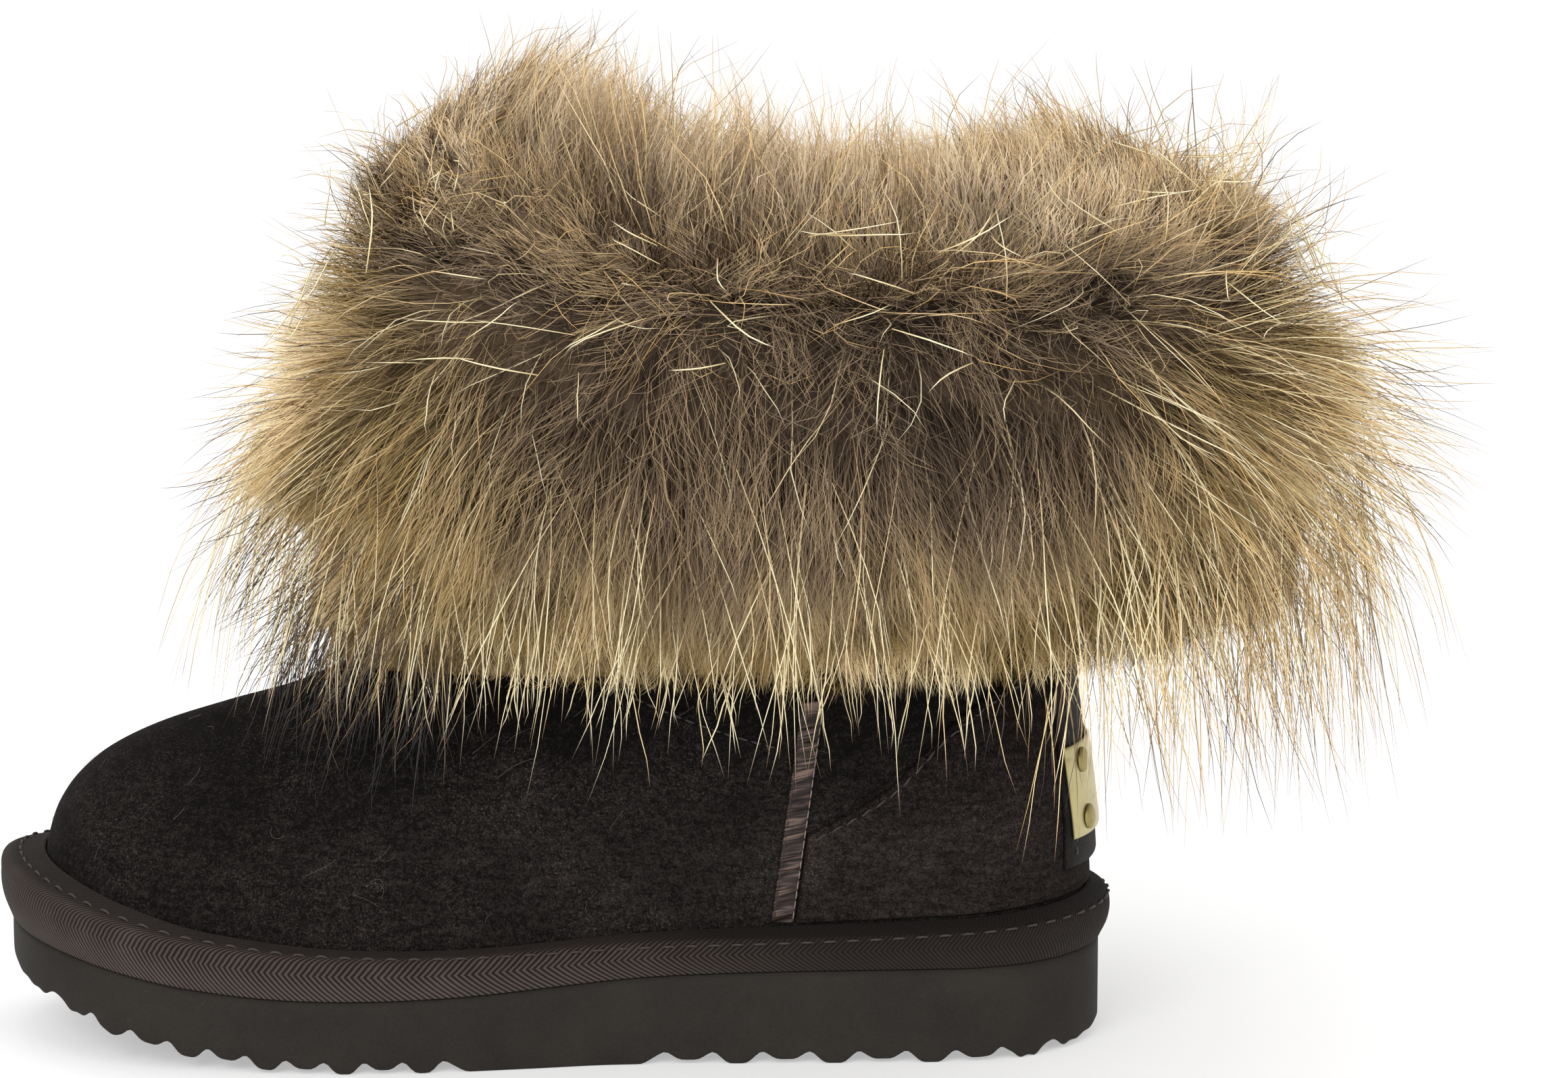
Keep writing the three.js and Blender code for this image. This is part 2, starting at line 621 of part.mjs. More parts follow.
function furCuff() {
  const rows = [...CUFF_FACE, ...CUFF_BACKING];
  const sections = roundAngles(CUFF_STEPS).map((angle) => rows.map((row) => cuffPoint(angle, row)));
  let body = toManifold(loft(sections, true));
  for (const row of LOCK_ROWS) {
    for (let i = 0; i < row.count; i += 1) {
      const angle = ((i + row.shift) / row.count) * Math.PI * 2;
      const drop = row.drop * (1 + 0.35 * Math.sin(i * 2.4 + row.from));
      body = body.add(toManifold(furLock(angle, { ...row, drop })));
    }
  }
  const bodies = body.subtract(toManifold(shaftSpace())).decompose();
  bodies.sort((a, b) => b.volume() - a.volume());
  return fromManifold(bodies[0]);
}

function piece(name, geometry, material) {
  const mesh = new THREE.Mesh(geometry, material);
  mesh.name = name;
  return mesh;
}

const boot = new THREE.Group();
boot.add(piece('outsole', outsole(), FOAM));
boot.add(piece('welt_tape', weltTape(), TWILL));
boot.add(piece('upper', upper(), SUEDE));
boot.add(piece('insole', insole(), FLEECE));
boot.add(piece('heel_counter', heelCounter(), SUEDE_RAISED));
boot.add(piece('side_ribbon_lateral', sideRibbon(OUTER), SATIN));
boot.add(piece('side_ribbon_medial', sideRibbon(INNER), SATIN));
boot.add(piece('heel_patch', heelPanel(PATCH, PATCH_BASE, 8, 6), LEATHER));
boot.add(piece('badge_plate', heelPanel(PLATE, PLATE_BASE, 8, 3), BRASS_PALE));
[OUTER, INNER].forEach((side, column) => {
  [RIVET.lowZ, RIVET.highZ].forEach((z, row) => {
    boot.add(piece(`rivet_${column * 2 + row + 1}`, rivet(side, z), BRASS_DARK));
  });
});
boot.add(piece('fur_cuff', furCuff(), FUR));

export default boot;
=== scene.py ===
"""A left winter ankle boot: suede upper, foam sole, twill welt tape and a deep fur cuff.

Shapes are worked out in millimetres and become metres in the meshes. The toe points to -X, the outer
side to -Y and the floor is at z = 0.
"""
import logging
import math
from dataclasses import dataclass, field, fields
from enum import Enum
from typing import Callable, Sequence

import bmesh
import bpy
import numpy as np
from mathutils import Matrix, Vector
from mathutils.bvhtree import BVHTree


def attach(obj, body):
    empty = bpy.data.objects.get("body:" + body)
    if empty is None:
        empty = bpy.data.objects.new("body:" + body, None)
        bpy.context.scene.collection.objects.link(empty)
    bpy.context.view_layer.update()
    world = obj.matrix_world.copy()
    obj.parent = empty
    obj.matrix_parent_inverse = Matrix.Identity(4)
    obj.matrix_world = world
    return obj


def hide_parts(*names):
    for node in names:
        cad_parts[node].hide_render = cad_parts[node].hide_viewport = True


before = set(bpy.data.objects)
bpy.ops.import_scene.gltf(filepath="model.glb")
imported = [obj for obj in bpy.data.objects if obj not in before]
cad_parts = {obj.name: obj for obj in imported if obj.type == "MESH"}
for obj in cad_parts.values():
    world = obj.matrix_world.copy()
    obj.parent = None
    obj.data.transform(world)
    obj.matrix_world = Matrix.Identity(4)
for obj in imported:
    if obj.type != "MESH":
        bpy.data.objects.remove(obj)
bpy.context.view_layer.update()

LOG = logging.getLogger("boot")
Array = np.ndarray
Colour = tuple[float, float, float, float]
Place = Callable[[Array, Array], Array]
Pair = tuple[float, float]
Triple = tuple[float, float, float]
Spots = tuple[Array, Array]
Steps = tuple[int, int]
Piece = bpy.types.Object
Material = bpy.types.Material

MM = 0.001
TURN = 2 * math.pi
SEAM_GAP = 0.3
WELD = 1e-6
TINY = 1e-6
GATHER_SLANT = 0.5
GATHER_DRIFT = 23.0
GATHER_UNEVEN = 0.3
BISECTIONS = 24
SEAM_POINTS = 60
STITCH_SEAT = 0.85
IN_PLAN = np.array([1, 1, 0])


class Side(Enum):
    """The two sides of the boot, by the sign of Y."""

    OUTER = -1
    INNER = 1


class Lie(Enum):
    """How guard hair lies on the cuff."""

    FLOWING = "with the coat"
    HANGING = "over the edge"
    TANGLED = "across the coat"


def unit(vectors: Array) -> Array:
    """Scales vectors to length one."""
    return vectors / np.maximum(np.linalg.norm(vectors, axis=-1, keepdims=True), 1e-9)


def mix(a: Array, b: Array, share: Array) -> Array:
    """Goes from a to b by a share."""
    return a + (b - a) * share


def smoothstep(low: float, high: float, at: Array) -> Array:
    """Rises smoothly from 0 at low to 1 at high."""
    t = np.clip((at - low) / (high - low), 0, 1)
    return t * t * (3 - 2 * t)


def pillow(at: Array, edge: float) -> Array:
    """A rounded edge profile: 0 at both ends of 0..1 and 1 further in than edge."""
    inward = np.clip(np.minimum(at, 1 - at) / edge, 0, 1)
    return np.sqrt(1 - (1 - inward) ** 2)


def crowded(at: Array, share: float = 0.8) -> Array:
    """Moves even steps over 0..1 towards both ends."""
    return at - share * np.sin(TURN * at) / TURN


def ripple(angle: Array, along: Array, seed: int, waves: int = 5) -> Array:
    """Smooth noise that closes round the boot.

    Args:
        angle: Where round the boot.
        along: Where along the other direction.
        seed: Which ripple.
        waves: How many waves are added.

    Returns:
        Values of about -1 to 1.
    """
    rng = np.random.default_rng(seed)
    total = np.zeros(np.broadcast(angle, along).shape)
    for _ in range(waves):
        turns = rng.integers(2, 15)
        steep = rng.uniform(0.6, 3.0)
        total = total + np.sin(turns * angle + steep * along + rng.uniform(0, TURN))
    return total / waves * 1.6


def listed(kind: type, *rows: Sequence[float]) -> tuple:
    """Makes the rows of a table."""
    return tuple(kind(*row) for row in rows)


def ahead_of(angle: Array) -> Array:
    """Gives the share from heel to toe at angles round the boot."""
    return (1 - np.cos(angle)) / 2


def side_of(angle: Array) -> Array:
    """Gives the side's sign at angles round the boot."""
    return np.where(np.sin(angle) >= 0, Side.OUTER.value, Side.INNER.value)


def first_past(shape: tuple[int, ...], most: float, past: Callable[[Array], Array]) -> Array:
    """Finds by halving where a test turns true between 0 and most.

    Args:
        shape: Shape of the result.
        most: The largest value.
        past: Tells for values whether they are past the wanted place.

    Returns:
        The values.
    """
    low = np.zeros(shape)
    high = np.full(shape, most)
    for _ in range(BISECTIONS):
        middle = (low + high) / 2
        beyond = past(middle)
        high = np.where(beyond, middle, high)
        low = np.where(beyond, low, middle)
    return (low + high) / 2


class Curve:
    """A smooth curve through the rows of a table."""

    def __init__(self, keys: Array, values: Array) -> None:
        """Keeps the rows and their slopes."""
        self.keys = np.asarray(keys, float)
        self.values = np.asarray(values, float)
        count = len(self.keys)
        before = np.maximum(np.arange(count) - 1, 0)
        after = np.minimum(np.arange(count) + 1, count - 1)
        span = (self.keys[after] - self.keys[before]).reshape((-1,) + (1,) * (self.values.ndim - 1))
        self.slopes = (self.values[after] - self.values[before]) / span

    @classmethod
    def of(cls, rows: Sequence, key: str, name: str) -> "Curve":
        """Makes the curve of one named column against another."""
        return cls([getattr(r, key) for r in rows], [getattr(r, name) for r in rows])

    def __call__(self, at: Array) -> Array:
        """Gives the curve's values."""
        at = np.clip(at, self.keys[0], self.keys[-1])
        i = np.clip(np.searchsorted(self.keys, at) - 1, 0, len(self.keys) - 2)
        span = self.keys[i + 1] - self.keys[i]
        t = (at - self.keys[i]) / span
        if self.values.ndim > 1:
            wide = t.shape + (1,) * (self.values.ndim - 1)
            t = t.reshape(wide)
            span = span.reshape(wide)
        start = (2 * t**3 - 3 * t**2 + 1) * self.values[i] + (t**3 - 2 * t**2 + t) * span * self.slopes[i]
        end = (3 * t**2 - 2 * t**3) * self.values[i + 1] + (t**3 - t**2) * span * self.slopes[i + 1]
        return start + end


@dataclass(frozen=True)
class Plan:
    """Half widths of the sole at a place along it."""

    x: float
    outer: float
    inner: float


@dataclass(frozen=True)
class Level:
    """A height at a place along the boot."""

    x: float
    z: float


@dataclass(frozen=True)
class Ring:
    """One ring of the upper: keep is the share of the sole's sag, dip the drop at the sides."""

    heel_x: float
    heel_z: float
    toe_x: float
    toe_z: float
    keep: float
    dip: float
    half: float
    oval: float
    full: float
    egg: float
    toe_y: float


@dataclass(frozen=True)
class Crease:
    """A soft trough in the suede with a low ridge above it."""

    ring: float
    angle: float
    along: float
    across: float
    deep: float
    slant: float


@dataclass(frozen=True)
class CuffRow:
    """One row of the cuff's face, out and up from a ring of the upper."""

    place: float
    ring: float
    reach: float
    lift: float
    front: float


SOLE_PLAN = listed(
    Plan,
    (-86, 46.5, 46.5),
    (-66, 49.6, 48.2),
    (-45, 50.2, 47),
    (-25, 48.2, 42),
    (-5, 44.8, 36),
    (15, 41.2, 32.4),
    (45, 39.9, 32.8),
    (75, 39.3, 36),
    (97, 38.4, 38),
)
SOLE_TOP = listed(
    Level,
    (-138, 29),
    (-121, 26.4),
    (-104, 23.2),
    (-85, 20),
    (-66, 18.6),
    (-45, 18.3),
    (-20, 19),
    (5, 20.8),
    (30, 22.5),
    (65, 23.4),
    (100, 23.7),
    (136, 24.2),
)
UPPER_RINGS = listed(
    Ring,
    (131.2, 24.5, -131, 28.6, 1, 0, 45.6, 0, 0.5, 0, 9),
    (132, 31, -131, 36.5, 1, 2, 46.8, 0, 0.5, 0, 9),
    (132, 37.2, -128.8, 43.2, 1, 3.4, 46.6, 0, 0.5, 0, 9),
    (131.6, 45, -127.6, 48.8, 0.9, 3, 46.4, 0.1, 0.5, 0, 9),
    (131, 54, -125.2, 55.6, 0.75, 3, 46, 0.25, 0.5, 0, 8.5),
    (130, 63, -120.4, 62.6, 0.6, 3, 45.2, 0.45, 0.48, 0.02, 8),
    (128.8, 72, -112.4, 69.4, 0.45, 2.6, 44.4, 0.7, 0.46, 0.1, 7.5),
    (127.5, 81, -100, 75.6, 0.3, 2, 43.8, 0.88, 0.42, 0.22, 7),
    (126.5, 90.5, -83.5, 81.2, 0.2, 1.4, 43.6, 1, 0.38, 0.36, 6),
    (125.9, 100.5, -63, 87.4, 0.1, 0.8, 43.8, 1, 0.32, 0.43, 5),
    (125.6, 111.5, -43, 98.2, 0, 0, 44.6, 1, 0.25, 0.38, 3),
    (125.5, 124, -27, 113, 0, 0, 45.6, 1, 0.18, 0.26, 1.5),
    (125.5, 140, -16, 132, 0, 0, 46.6, 1, 0.1, 0.12, 0),
    (125.5, 159, -10.8, 154, 0, 0, 47.4, 1, 0.04, 0.03, 0),
    (125.5, 178, -9.2, 176, 0, 0, 48, 1, 0, 0, 0),
    (125.5, 197, -9, 197, 0, 0, 48, 1, 0, 0, 0),
)
COLLAR = len(UPPER_RINGS) - 1.0
CREASES = listed(
    Crease,
    (5.3, 1.95, 0.16, 0.5, 0.55, 2.2),
    (6.4, 1.75, 0.13, 0.45, 0.5, 3.0),
    (4.0, 2.25, 0.18, 0.5, 0.4, 1.5),
    (8.6, 0.75, 0.3, 0.35, 0.6, -1.6),
    (6.2, -1.85, 0.18, 0.5, 0.55, -2.2),
    (4.6, -2.2, 0.2, 0.5, 0.4, -1.5),
    (8.6, -0.75, 0.3, 0.35, 0.6, 1.6),
    (7.6, 2.75, 0.25, 0.5, 0.45, 0.8),
)
CUFF_ROWS = listed(
    CuffRow,
    (0, COLLAR, 9, 20, 0.86),
    (1, COLLAR, 26, 23, 0.86),
    (2, COLLAR, 46, 15, 0.84),
    (3, 14.6, 62, 4, 0.82),
    (4, 14, 74, -1, 0.83),
    (5, 13, 80, -4, 0.85),
    (6, 11.9, 77, -5, 0.73),
    (7, 10.9, 64, -6, 0.66),
    (8, 10.2, 41, -7, 0.48),
    (9, 9.9, 17, -6, 0.5),
)


@dataclass
class Last:
    """The boot's own form: the sole's outline, the upper's rings and the creases worn into them."""

    heel_end: float = 135.6
    heel_round_from: float = 97.0
    toe_end: float = -137.2
    toe_round_from: float = -86.0
    toe_tip_y: float = 9.0
    spring_from: float = -50.0
    spring_rate: float = 0.00228
    ball_half: float = 50.2
    wall: float = 3.0
    tape_top: float = 2.0
    tape_toe_rise: float = 0.3
    vamp_seam: tuple[Level, ...] = listed(Level, (-8, 106), (8, 99), (20, 93.5), (38, 87), (57, 81.5))
    vamp_step: float = 0.5
    ridge: float = 0.5
    ridge_off: float = 1.7
    ridge_wide: float = 1.2

    def __post_init__(self) -> None:
        """Makes the curves through the tables."""
        self.outer_half = Curve.of(SOLE_PLAN, "x", "outer")
        self.inner_half = Curve.of(SOLE_PLAN, "x", "inner")
        self.sole_top = Curve.of(SOLE_TOP, "x", "z")
        self.seam_z = Curve.of(self.vamp_seam, "x", "z")
        rings = np.arange(len(UPPER_RINGS))
        self.columns = {
            f.name: Curve(rings, [getattr(r, f.name) for r in UPPER_RINGS]) for f in fields(Ring)
        }

    def sole_edge(self, x: Array, side: Array) -> Array:
        """Gives Y of the sole's edge: round heel, shaped middle, round toe."""
        edge = side * np.where(side < 0, self.outer_half(x), self.inner_half(x))
        heel = np.clip((x - self.heel_round_from) / (self.heel_end - self.heel_round_from), 0, 1)
        toe = np.clip((self.toe_round_from - x) / (self.toe_round_from - self.toe_end), 0, 1)
        rounded = self.toe_tip_y + (edge - self.toe_tip_y) * np.sqrt(1 - toe**2)
        return np.where(toe > 0, rounded, edge * np.sqrt(1 - heel**2))

    def spring(self, x: Array) -> Array:
        """Gives how far the toe is sprung off the floor."""
        return self.spring_rate * np.maximum(self.spring_from - x, 0) ** 2

    def upper_face(self, ring: Array, angle: Array) -> Array:
        """Gives points of the upper's outer face before any crease.

        Args:
            ring: Place up the upper, 0 at the sole.
            angle: Place round it, 0 at the heel and pi at the toe, the outer side first.

        Returns:
            The points.
        """
        ring, angle = np.broadcast_arrays(np.asarray(ring, float), np.asarray(angle, float))
        at = {name: curve(ring) for name, curve in self.columns.items()}
        ahead = ahead_of(angle)
        side = side_of(angle)
        x = mix(at["heel_x"], at["toe_x"], ahead)
        chord = mix(self.sole_top(at["heel_x"]), self.sole_top(at["toe_x"]), ahead)
        z = mix(at["heel_z"], at["toe_z"], ahead) + at["keep"] * (self.sole_top(x) - chord)
        z = z - at["dip"] * np.sin(angle) ** 2
        foot = self.sole_edge(mix(self.heel_end, self.toe_end, ahead), side) * at["half"] / self.ball_half
        blunt = 1 + at["full"] * (1 - ahead) ** 4 - at["egg"] * ahead**2
        oval = -np.sin(angle) * at["half"] * blunt + at["toe_y"] * ahead**3
        return np.stack([x, mix(foot, oval, at["oval"]), z], -1)

    def upper_normal(self, ring: Array, angle: Array) -> Array:
        """Gives the upper's outward directions."""
        step = 0.02
        ring, angle = np.broadcast_arrays(np.asarray(ring, float), np.asarray(angle, float))
        up = self.upper_face(np.minimum(ring + step, COLLAR), angle)
        up = up - self.upper_face(np.maximum(ring - step, 0), angle)
        along = self.upper_face(ring, angle + step) - self.upper_face(ring, angle - step)
        normal = np.cross(up, along)
        normal[..., 2] *= np.clip(np.minimum(ring, COLLAR - ring), 0, 1)
        return unit(normal)

    def relief(self, ring: Array, angle: Array) -> Array:
        """Gives how far creases and the vamp's lapped edge move the suede outwards."""
        total = np.zeros(np.broadcast(ring, angle).shape)
        for crease in CREASES:
            turn = (angle - crease.angle + math.pi) % TURN - math.pi
            off = (ring - crease.ring - crease.slant * turn) / crease.across
            shape = np.exp(-(off**2))
            shape = shape - self.ridge * np.exp(-(((off - self.ridge_off) / self.ridge_wide) ** 2))
            total = total - crease.deep * np.exp(-((turn / crease.along) ** 2)) * shape
        point = self.upper_face(ring, angle)
        below = self.seam_z(point[..., 0]) - point[..., 2]
        lap = smoothstep(-0.5, 0.5, below) * (1 - smoothstep(2, 9, below))
        near = smoothstep(-14, -6, point[..., 0]) * (1 - smoothstep(55, 57, point[..., 0]))
        total = total + self.vamp_step * lap * near
        return total * smoothstep(2.0, 2.8, ring) * (1 - smoothstep(12, 13, ring))

    def off_upper(self, ring: Array, angle: Array, out: Array) -> Array:
        """Gives points a distance out from the creased upper."""
        out = np.asarray(out, float) + self.relief(ring, angle)
        return self.upper_face(ring, angle) + self.upper_normal(ring, angle) * out[..., None]

    def ring_at_height(self, angle: Array, z: Array) -> Array:
        """Finds the ring that lies at a height."""
        angle, z = np.broadcast_arrays(np.asarray(angle, float), np.asarray(z, float))
        return first_past(angle.shape, COLLAR, lambda ring: self.upper_face(ring, angle)[..., 2] > z)

    def angle_where(self, z: Array, most: float, past: Callable[[Array], Array]) -> Array:
        """Finds the outer side's angle where a point at height z first passes a test.

        Args:
            z: Heights.
            most: The largest angle.
            past: Tells for points whether they are past the wanted place.

        Returns:
            The angles.
        """
        z = np.asarray(z, float)

        def beyond(angle: Array) -> Array:
            """Tests the points at angles."""
            return past(self.upper_face(self.ring_at_height(angle, z), angle))

        return first_past(z.shape, most, beyond)

    def angle_at_length(self, x: Array, z: Array) -> Array:
        """Finds the outer side's angle at a place along the boot."""
        return self.angle_where(z, math.pi, lambda point: point[..., 0] < x)

    def angle_at_breadth(self, y: Array, z: Array) -> Array:
        """Finds the outer side's angle at a half breadth of the heel."""
        return self.angle_where(z, math.pi / 2, lambda point: -point[..., 1] > y)

    def beside_sole(self, angle: Array, out: Array) -> Array:
        """Gives points out from the sole's edge, level with its top."""

        def edge(a: Array) -> Array:
            """Gives the sole's edge in plan."""
            x = mix(self.heel_end, self.toe_end, ahead_of(a))
            return np.stack([x, self.sole_edge(x, side_of(a)), np.zeros_like(x)], -1)

        step = 0.02
        along = unit(edge(angle + step) - edge(angle - step))
        outward = np.stack([-along[..., 1], along[..., 0], np.zeros_like(angle)], -1)
        point = edge(angle) + outward * np.asarray(out)[..., None]
        point[..., 2] = self.sole_top(point[..., 0]) + SEAM_GAP
        return point

    def tape_ring(self, angle: Array) -> Array:
        """Gives the tape's top edge as a ring of the upper, a little higher round the toe."""
        return self.tape_top + self.tape_toe_rise * ahead_of(angle) ** 6

    def above_tape(self, angle: Array) -> Array:
        """Gives the height just above the tape's top edge."""
        return self.upper_face(self.tape_ring(angle), angle)[..., 2] + SEAM_GAP * 3


def maths(operation: str, swapped: bool = False) -> Callable[..., "Shade"]:
    """Makes an operator that adds one Math node, with its two values swapped or not."""

    def apply(value: "Shade", other: "Shade | float" = 0.0) -> "Shade":
        """Adds the node."""
        a, b = (other, value) if swapped else (value, other)
        return value.paint.add("ShaderNodeMath", {"operation": operation}, {0: a, 1: b})

    return apply


class Shade:
    """A value in a material's maths: an expression on it adds Math nodes."""

    __add__ = maths("ADD")
    __radd__ = maths("ADD", swapped=True)
    __sub__ = maths("SUBTRACT")
    __rsub__ = maths("SUBTRACT", swapped=True)
    __mul__ = maths("MULTIPLY")
    __abs__ = maths("ABSOLUTE")
    fract = maths("FRACT")
    sine = maths("SINE")
    most = maths("MAXIMUM")

    def __init__(self, paint: "Paint", socket: bpy.types.NodeSocket) -> None:
        """Wraps a node's output."""
        self.paint = paint
        self.socket = socket

    def step(self, low: float, high: float) -> "Shade":
        """Rises smoothly from 0 at low to 1 at high."""
        sockets = {"Value": self, "From Min": low, "From Max": high}
        return self.paint.add("ShaderNodeMapRange", {"interpolation_type": "SMOOTHSTEP"}, sockets)


class Paint:
    """The nodes of one material."""

    def __init__(self, name: str) -> None:
        """Starts an empty material."""
        self.material = bpy.data.materials.new(name)
        self.material.use_nodes = True
        self.tree = self.material.node_tree
        self.tree.nodes.clear()

    def add(self, kind: str, settings: dict, sockets: dict, output: int | str = 0) -> Shade:
        """Adds a node.

        Args:
            kind: The node's type.
            settings: Its properties, set first; "stops" are a ramp's places and colours.
            sockets: Values or links of its sockets, by name or number.
            output: The output to wrap.

        Returns:
            The wrapped output.
        """
        node = self.tree.nodes.new(kind)
        for name, value in settings.items():
            if name == "stops":
                self._stops(node.color_ramp, value)
            else:
                setattr(node, name, value)
        for key, value in sockets.items():
            if isinstance(value, Shade):
                self.tree.links.new(value.socket, node.inputs[key])
            else:
                node.inputs[key].default_value = value
        return Shade(self, node.outputs[output]) if node.outputs else Shade(self, None)

    @staticmethod
    def _stops(ramp: bpy.types.ColorRamp, stops: Sequence[tuple[float, Colour]]) -> None:
        """Sets a colour ramp's stops."""
        while len(ramp.elements) < len(stops):
            ramp.elements.new(1.0)
        for element, (place, colour) in zip(ramp.elements, stops):
            element.position = place
            element.color = colour

    def spot(self) -> Shade:
        """Reads Object coordinates."""
        return self.add("ShaderNodeTexCoord", {}, {}, "Object")

    def cloth(self, name: str) -> tuple[Shade, Shade]:
        """Reads the two coordinates of the piece's own map."""
        both = self.add("ShaderNodeUVMap", {"uv_map": name}, {})
        across = self.add("ShaderNodeSeparateXYZ", {}, {0: both}, 0)
        along = self.add("ShaderNodeSeparateXYZ", {}, {0: both}, 1)
        return across, along

    def joined(self, x: Shade | float, y: Shade | float, z: Shade | float = 0.0) -> Shade:
        """Joins three values to a vector."""
        return self.add("ShaderNodeCombineXYZ", {}, {0: x, 1: y, 2: z})

    def noise(self, size_mm: float, detail: float, rough: float, at: Shade | None = None) -> Shade:
        """Adds noise whose grains have a size in millimetres."""
        scale = 1 / (size_mm * MM)
        sockets = {"Vector": at or self.spot(), "Scale": scale, "Detail": detail, "Roughness": rough}
        return self.add("ShaderNodeTexNoise", {}, sockets)

    def mix(self, share: Shade | float, a: Shade | Colour, b: Shade | Colour) -> Shade:
        """Mixes two colours."""
        return self.add("ShaderNodeMix", {"data_type": "RGBA"}, {0: share, 6: a, 7: b}, 2)

    def ramp(self, at: Shade, stops: Sequence[tuple[float, Colour]]) -> Shade:
        """Turns a value into a colour."""
        return self.add("ShaderNodeValToRGB", {"stops": stops}, {0: at})

    def bump(self, height: Shade, deep_mm: float, strength: float) -> Shade:
        """Makes a normal from heights."""
        sockets = {"Height": height, "Distance": deep_mm * MM, "Strength": strength}
        return self.add("ShaderNodeBump", {}, sockets)

    def surface(
        self,
        colour: Shade,
        rough: Shade | float,
        normal: Shade | None = None,
        gloss: float = 0.5,
        extra: dict | None = None,
    ) -> Material:
        """Closes the material with its shader.

        Args:
            colour: Base colour.
            rough: Roughness.
            normal: Bumped normal, if any.
            gloss: Specular level.
            extra: Values of other sockets.

        Returns:
            The material.
        """
        sockets = {"Base Color": colour, "Roughness": rough, "Specular IOR Level": gloss, **(extra or {})}
        if normal:
            sockets["Normal"] = normal
        shader = self.add("ShaderNodeBsdfPrincipled", {}, sockets)
        self.add("ShaderNodeOutputMaterial", {}, {"Surface": shader})
        return self.material


def tone(red: float, green: float, blue: float) -> Colour:
    """Makes an opaque colour."""
    return (red, green, blue, 1.0)


@dataclass(frozen=True)
class Finish:
    """A material that is made once."""

    name: str

    def material(self) -> Material:
        """Gives the material, made at its first use."""
        return bpy.data.materials.get(self.name) or self.mixed(Paint(self.name))

    def mixed(self, p: Paint) -> Material:
        """Makes the material."""
        raise NotImplementedError


@dataclass(frozen=True)
class Suede(Finish):
    """Brushed suede with lighter nap patches, a little dust and painted shade high up under the fur."""

    dark: Colour = tone(0.0034, 0.0028, 0.0026)
    light: Colour = tone(0.042, 0.0352, 0.032)
    dust: Colour = tone(0.16, 0.134, 0.12)
    patch_mm: float = 34.0
    nap_mm: float = 1.5
    grain_mm: float = 0.5

    def mixed(self, p: Paint) -> Material:
        """Makes the suede."""
        x, y, z = (p.add("ShaderNodeSeparateXYZ", {}, {0: p.spot()}, axis) for axis in range(3))
        patches = p.noise(self.patch_mm, 5, 0.62)
        nap = p.noise(self.nap_mm, 4, 0.65)
        grain = p.noise(self.grain_mm, 3, 0.6)
        brushed = p.noise(1.4, 3, 0.6, p.joined(x * 0.2, y * 0.2, z))
        share = patches * 0.42 + nap * 0.8 + brushed * 0.45 + grain * 1.1 - 1.165
        # Lighter from the toe towards the heel; painted shade darkens the suede from 50 to 100 mm up, under
        # the fur.
        share = share + x.step(-0.12, 0.1) * 0.13 - z.step(0.05, 0.1) * 0.2
        colour = p.mix(share.step(0.0, 1.0), self.dark, self.light)
        specks = grain.step(0.56, 0.72) * patches.step(0.42, 0.66)
        colour = p.mix(specks * 0.3, colour, self.dust)
        normal = p.bump(nap * 0.6 + grain * 0.4, 0.35, 0.75)
        sheen = {"Sheen Weight": 0.02, "Sheen Roughness": 0.45, "Sheen Tint": tone(0.55, 0.42, 0.36)}
        return p.surface(colour, 0.86 + nap * 0.12, normal, 0.06, sheen)


@dataclass(frozen=True)
class Foam(Finish):
    """Matte moulded foam with fine pores."""

    dark: Colour = tone(0.0165, 0.0142, 0.0122)
    light: Colour = tone(0.029, 0.0252, 0.0213)
    scuffed: Colour = tone(0.07, 0.062, 0.054)

    def mixed(self, p: Paint) -> Material:
        """Makes the foam."""
        cloud = p.noise(22, 4, 0.6)
        pores = p.noise(0.7, 3, 0.6)
        scuff = p.noise(5, 6, 0.7)
        colour = p.mix((cloud * 0.6 + pores * 0.5).step(0.3, 0.8), self.dark, self.light)
        colour = p.mix(scuff.step(0.62, 0.8) * 0.4, colour, self.scuffed)
        normal = p.bump(pores * 0.7 + scuff * 0.3, 0.16, 0.6)
        return p.surface(colour, 0.62 + pores * 0.2, normal, 0.12)


